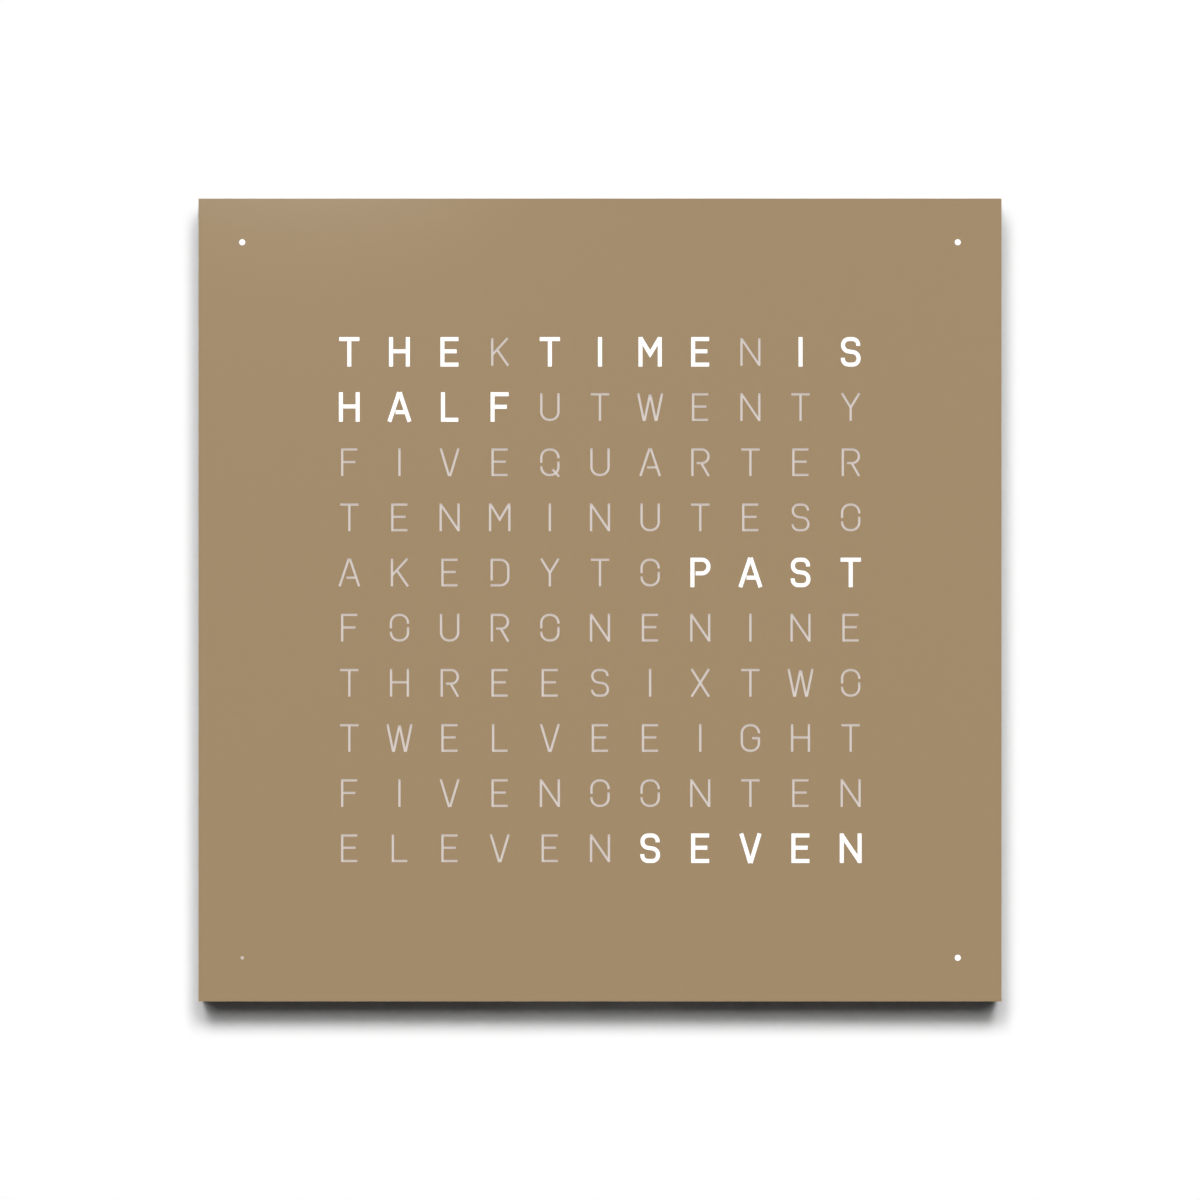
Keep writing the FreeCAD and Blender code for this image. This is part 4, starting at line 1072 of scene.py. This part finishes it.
# each stroke by its corners, in millimetres: across, up, and how far the corner is rounded
STROKES = {
    "A": [[(-5.5, -TOP), (-0.3, TOP)], [(5.5, -TOP), (0.3, TOP)], [(-1.7, -2.9), (3.8, -2.9)]],
    "D": [[(-4.5, -4.5), (-4.5, BAR), (SIDE, BAR, BEND), (SIDE, -BAR, BEND), (-5.15, -BAR)]],
    "E": [[(4.5, BAR), (-4.0, BAR), (-4.0, -BAR), (4.5, -BAR)], [(-4.0, 0.3), (3.5, 0.3)]],
    "F": [[(4.5, BAR), (-4.0, BAR), (-4.0, -TOP)], [(-4.0, 0.1), (3.5, 0.1)]],
    "G": [
        [
            (SIDE, 2.6), (SIDE, BAR, BEND), (-SIDE, BAR, BEND), (-SIDE, -BAR, BEND),
            (SIDE, -BAR, BEND), (SIDE, -0.1), (0.9, -0.1),
        ],
    ],
    "H": [[(-4.7, TOP), (-4.7, -TOP)], [(4.7, TOP), (4.7, -TOP)], [(-4.7, 0.3), (4.7, 0.3)]],
    "I": [[(0, TOP), (0, -TOP)]],
    "K": [[(-4.2, TOP), (-4.2, -TOP)], [(4.5, TOP), (-4.0, -1.4)], [(-1.5, 1.3), (4.8, -TOP)]],
    "L": [[(-3.7, TOP), (-3.7, -BAR), (4.4, -BAR)]],
    "M": [
        [(-5.4, TOP), (-5.4, -TOP)],
        [(5.4, TOP), (5.4, -TOP)],
        [(-5.2, 7.5), (0, -1.2), (5.2, 7.5)],
    ],
    "N": [[(-5.0, TOP), (-5.0, -TOP)], [(5.0, TOP), (5.0, -TOP)], [(-5.0, 7.4), (5.0, -7.4)]],
    "O": [
        [(-SIDE, -0.4), (-SIDE, BAR, BEND), (SIDE, BAR, BEND), (SIDE, 2.2)],
        [(SIDE, 0.4), (SIDE, -BAR, BEND), (-SIDE, -BAR, BEND), (-SIDE, -2.2)],
    ],
    "P": [
        [(-4.4, TOP), (-4.4, -TOP)],
        [(-4.4, BAR), (4.6, BAR, 3.7), (4.6, -0.5, 3.7), (-2.1, -0.5)],
    ],
    "Q": [
        [(-SIDE, -0.4), (-SIDE, BAR, BEND), (SIDE, BAR, BEND), (SIDE, 2.2)],
        [(SIDE, 0.4), (SIDE, -BAR, BEND), (-SIDE, -BAR, BEND), (-SIDE, -2.2)],
        [(1.5, -4.0), (5.2, -8.1)],
    ],
    "R": [
        [(-4.4, TOP), (-4.4, -TOP)],
        [(-4.4, BAR), (4.6, BAR, 3.7), (4.6, -0.5, 3.7), (-2.1, -0.5)],
        [(0.6, -0.5), (4.8, -TOP)],
    ],
    "S": [
        [
            (4.2, 3.8), (4.2, BAR, 3.2), (-4.3, BAR, 3.2), (-4.3, 0.7, 2.9),
            (4.4, -0.6, 2.9), (4.4, -BAR, 3.2), (-4.4, -BAR, 3.2), (-4.4, -3.8),
        ],
    ],
    "T": [[(-5.2, BAR), (5.2, BAR)], [(0, BAR), (0, -TOP)]],
    "U": [[(-SIDE, TOP), (-SIDE, -BAR, BEND), (SIDE, -BAR, BEND), (SIDE, TOP)]],
    "V": [[(-5.0, TOP), (-0.25, -TOP)], [(5.0, TOP), (0.25, -TOP)]],
    "W": [
        [(-6.7, TOP), (-3.5, -TOP)],
        [(-0.1, 7.0), (-3.2, -TOP)],
        [(0.1, 7.0), (3.2, -TOP)],
        [(6.7, TOP), (3.5, -TOP)],
    ],
    "X": [[(-4.9, TOP), (4.9, -TOP)], [(4.9, TOP), (-4.9, -TOP)]],
    "Y": [[(-4.9, TOP), (0, -0.2)], [(4.9, TOP), (0, -0.2)], [(0, 0.4), (0, -TOP)]],
}


def stroke(corners, margin):
    """A line through the corners, with the rounded ones rounded and both ends longer by a
    margin."""
    line = [Vector(corner[:2]) * mm for corner in corners]
    line[0] += (line[0] - line[1]).normalized() * margin
    line[-1] += (line[-1] - line[-2]).normalized() * margin
    bpy.ops.object.select_all(action="DESELECT")
    bpy.ops.mesh.primitive_plane_add(size=mm)
    obj = bpy.context.object
    edit("VERT")
    bpy.ops.mesh.merge(type="CENTER")
    bpy.ops.transform.translate(value=(line[0].x, 0, line[0].y))
    for here, there in zip(line, line[1:]):
        step = there - here
        bpy.ops.mesh.extrude_vertices_move(TRANSFORM_OT_translate={"value": (step.x, 0, step.y)})
    for x, z, *rounding in corners:
        if rounding:
            corner = Vector((x, 0, z)) * mm
            select(obj, lambda point: (point.co - corner).length < 0.01 * mm, "VERT")
            bpy.ops.mesh.bevel(offset=rounding[0] * mm, segments=6, affect="VERTICES")
    bpy.ops.object.mode_set(mode="OBJECT")
    return obj


def punch(letter, front, back, margin=0.0):
    """The solid that cuts a letter, from one level to another, wider all round by a margin."""
    whole = None
    for corners in STROKES[letter]:
        obj = stroke(corners, margin)
        edit_all()
        bpy.ops.transform.translate(value=(0, front, 0))
        bpy.ops.mesh.extrude_region_move(TRANSFORM_OT_translate={"value": (0, back - front, 0)})
        face_outwards()
        breadth = obj.modifiers.new("breadth", "SOLIDIFY")
        breadth.thickness = STROKE + 2 * margin
        breadth.offset = 0
        breadth.use_even_offset = True
        bpy.ops.object.modifier_apply(modifier=breadth.name)
        face_outwards()
        if whole:
            cut(whole, obj, "UNION")
        else:
            whole = obj
    return whole


def dot_punch(radius, front, back, places):
    """Round punches at the corners."""
    bpy.ops.object.select_all(action="DESELECT")
    bpy.ops.mesh.primitive_cylinder_add(
        vertices=40,
        radius=radius,
        depth=back - front,
        location=(0, (front + back) / 2, 0),
        rotation=(math.pi / 2, 0, 0),
    )
    return copies(settle(bpy.context.object), places)


LETTERS = [
    "THEKTIMENIS",
    "HALFUTWENTY",
    "FIVEQUARTER",
    "TENMINUTESO",
    "AKEDYTOPAST",
    "FOURONENINE",
    "THREESIXTWO",
    "TWELVEEIGHT",
    "FIVENOONTEN",
    "ELEVENSEVEN",
]
LETTER_FIELD = 190 * mm  # how far the letters reach from the middle; the dots lie beyond
lit_letters = {(row, column) for row, first, past in LIT_RUNS for column in range(first, past)}


def is_lit(x, z):
    """Whether the letter or dot at this place is lit."""
    if max(abs(x), abs(z)) > LETTER_FIELD:
        return (math.copysign(1, x), math.copysign(1, z)) in LIT_DOTS
    row = (ROWS - 1) / 2 - z / ROW
    column = (COLUMNS - 1) / 2 + x / COLUMN
    return (round(row), round(column)) in lit_letters


through = (FRONT - 1.5 * mm, COVER_BACK + 1.0 * mm)
shallow = (FRONT - 2.0 * mm, FRONT + GLOW_DEPTH)
punches, painted_glow_cuts = [], []
for letter in STROKES:
    spots, lit_spots = [], []
    for row, word in enumerate(LETTERS):
        for column, shown in enumerate(word):
            if shown == letter:
                x, z = cell(row, column)
                spots.append((x, 0, z))
                if (row, column) in lit_letters:
                    lit_spots.append((x, 0, z))
    tool = punch(letter, *through)
    if lit_spots:
        painted_glow_cuts.append(copies(punch(letter, *shallow, GLOW), lit_spots))
    punches.append(copies(tool, spots))
punches.append(dot_punch(DOT_HOLE, *through, dots))
lit_dots = [(side * DOT, 0, rise * DOT) for side, rise in LIT_DOTS]
painted_glow_cuts.append(dot_punch(DOT_GLOW_RADIUS, *shallow, lit_dots))

coat = Finish("powder_coat")
fine = coat.noise(1500, 2)
coarse = coat.noise(260, 2)
coat.feed(
    Base_Color=coat.tint(coat.noise(2200, 2), (0.285, 0.19, 0.09), (0.328, 0.225, 0.113)),
    Roughness=coat.blend(coarse, 0.46, 0.58),
)
coat.relief(fine + coarse * 0.6, 0.035 * mm, 0.45)
# painted light: the glowing finish of the ring round lit letters and dots, and of the walls of
# their cuts
glow = Finish("painted_letter_glow", Base_Color=(0.4, 0.4, 0.4), Emission_Strength=1.0)
glow.feed(
    Emission_Color=glow.tint(glow.noise(300), (0.72, 0.72, 0.72), (0.68, 0.68, 0.68)),
    Roughness=glow.blend(glow.noise(900), 0.5, 0.6),
)

low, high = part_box("front_cover")
cover = brick("letter_cover", low, high)
soften(cover, 0.18 * mm, 3)
painted_glow_cut = joined("painted_glow_cut", painted_glow_cuts)
holes = joined("holes", punches)
for obj in (cover, painted_glow_cut, holes):
    obj.data.materials.append(coat.material)
    obj.data.materials.append(glow.material)
# painted glow on the ring round each lit letter and dot, and on the walls of their cuts
paint(painted_glow_cut, 1, lambda face: True)
paint(holes, 1, lambda face: is_lit(face.center.x, face.center.z))
cut(cover, painted_glow_cut)
cut(cover, holes)

# closes the hairline gaps that the cuts leave, and makes even triangles round the letters
only(cover)
edit_all()
bpy.ops.mesh.remove_doubles(threshold=0.003 * mm)
bpy.ops.mesh.fill_holes(sides=6)
bpy.ops.mesh.quads_convert_to_tris(quad_method="BEAUTY", ngon_method="BEAUTY")
bpy.ops.mesh.dissolve_degenerate(threshold=0.002 * mm)
bpy.ops.object.mode_set(mode="OBJECT")
finished(cover, "cover", "coated_steel")
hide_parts("front_cover")
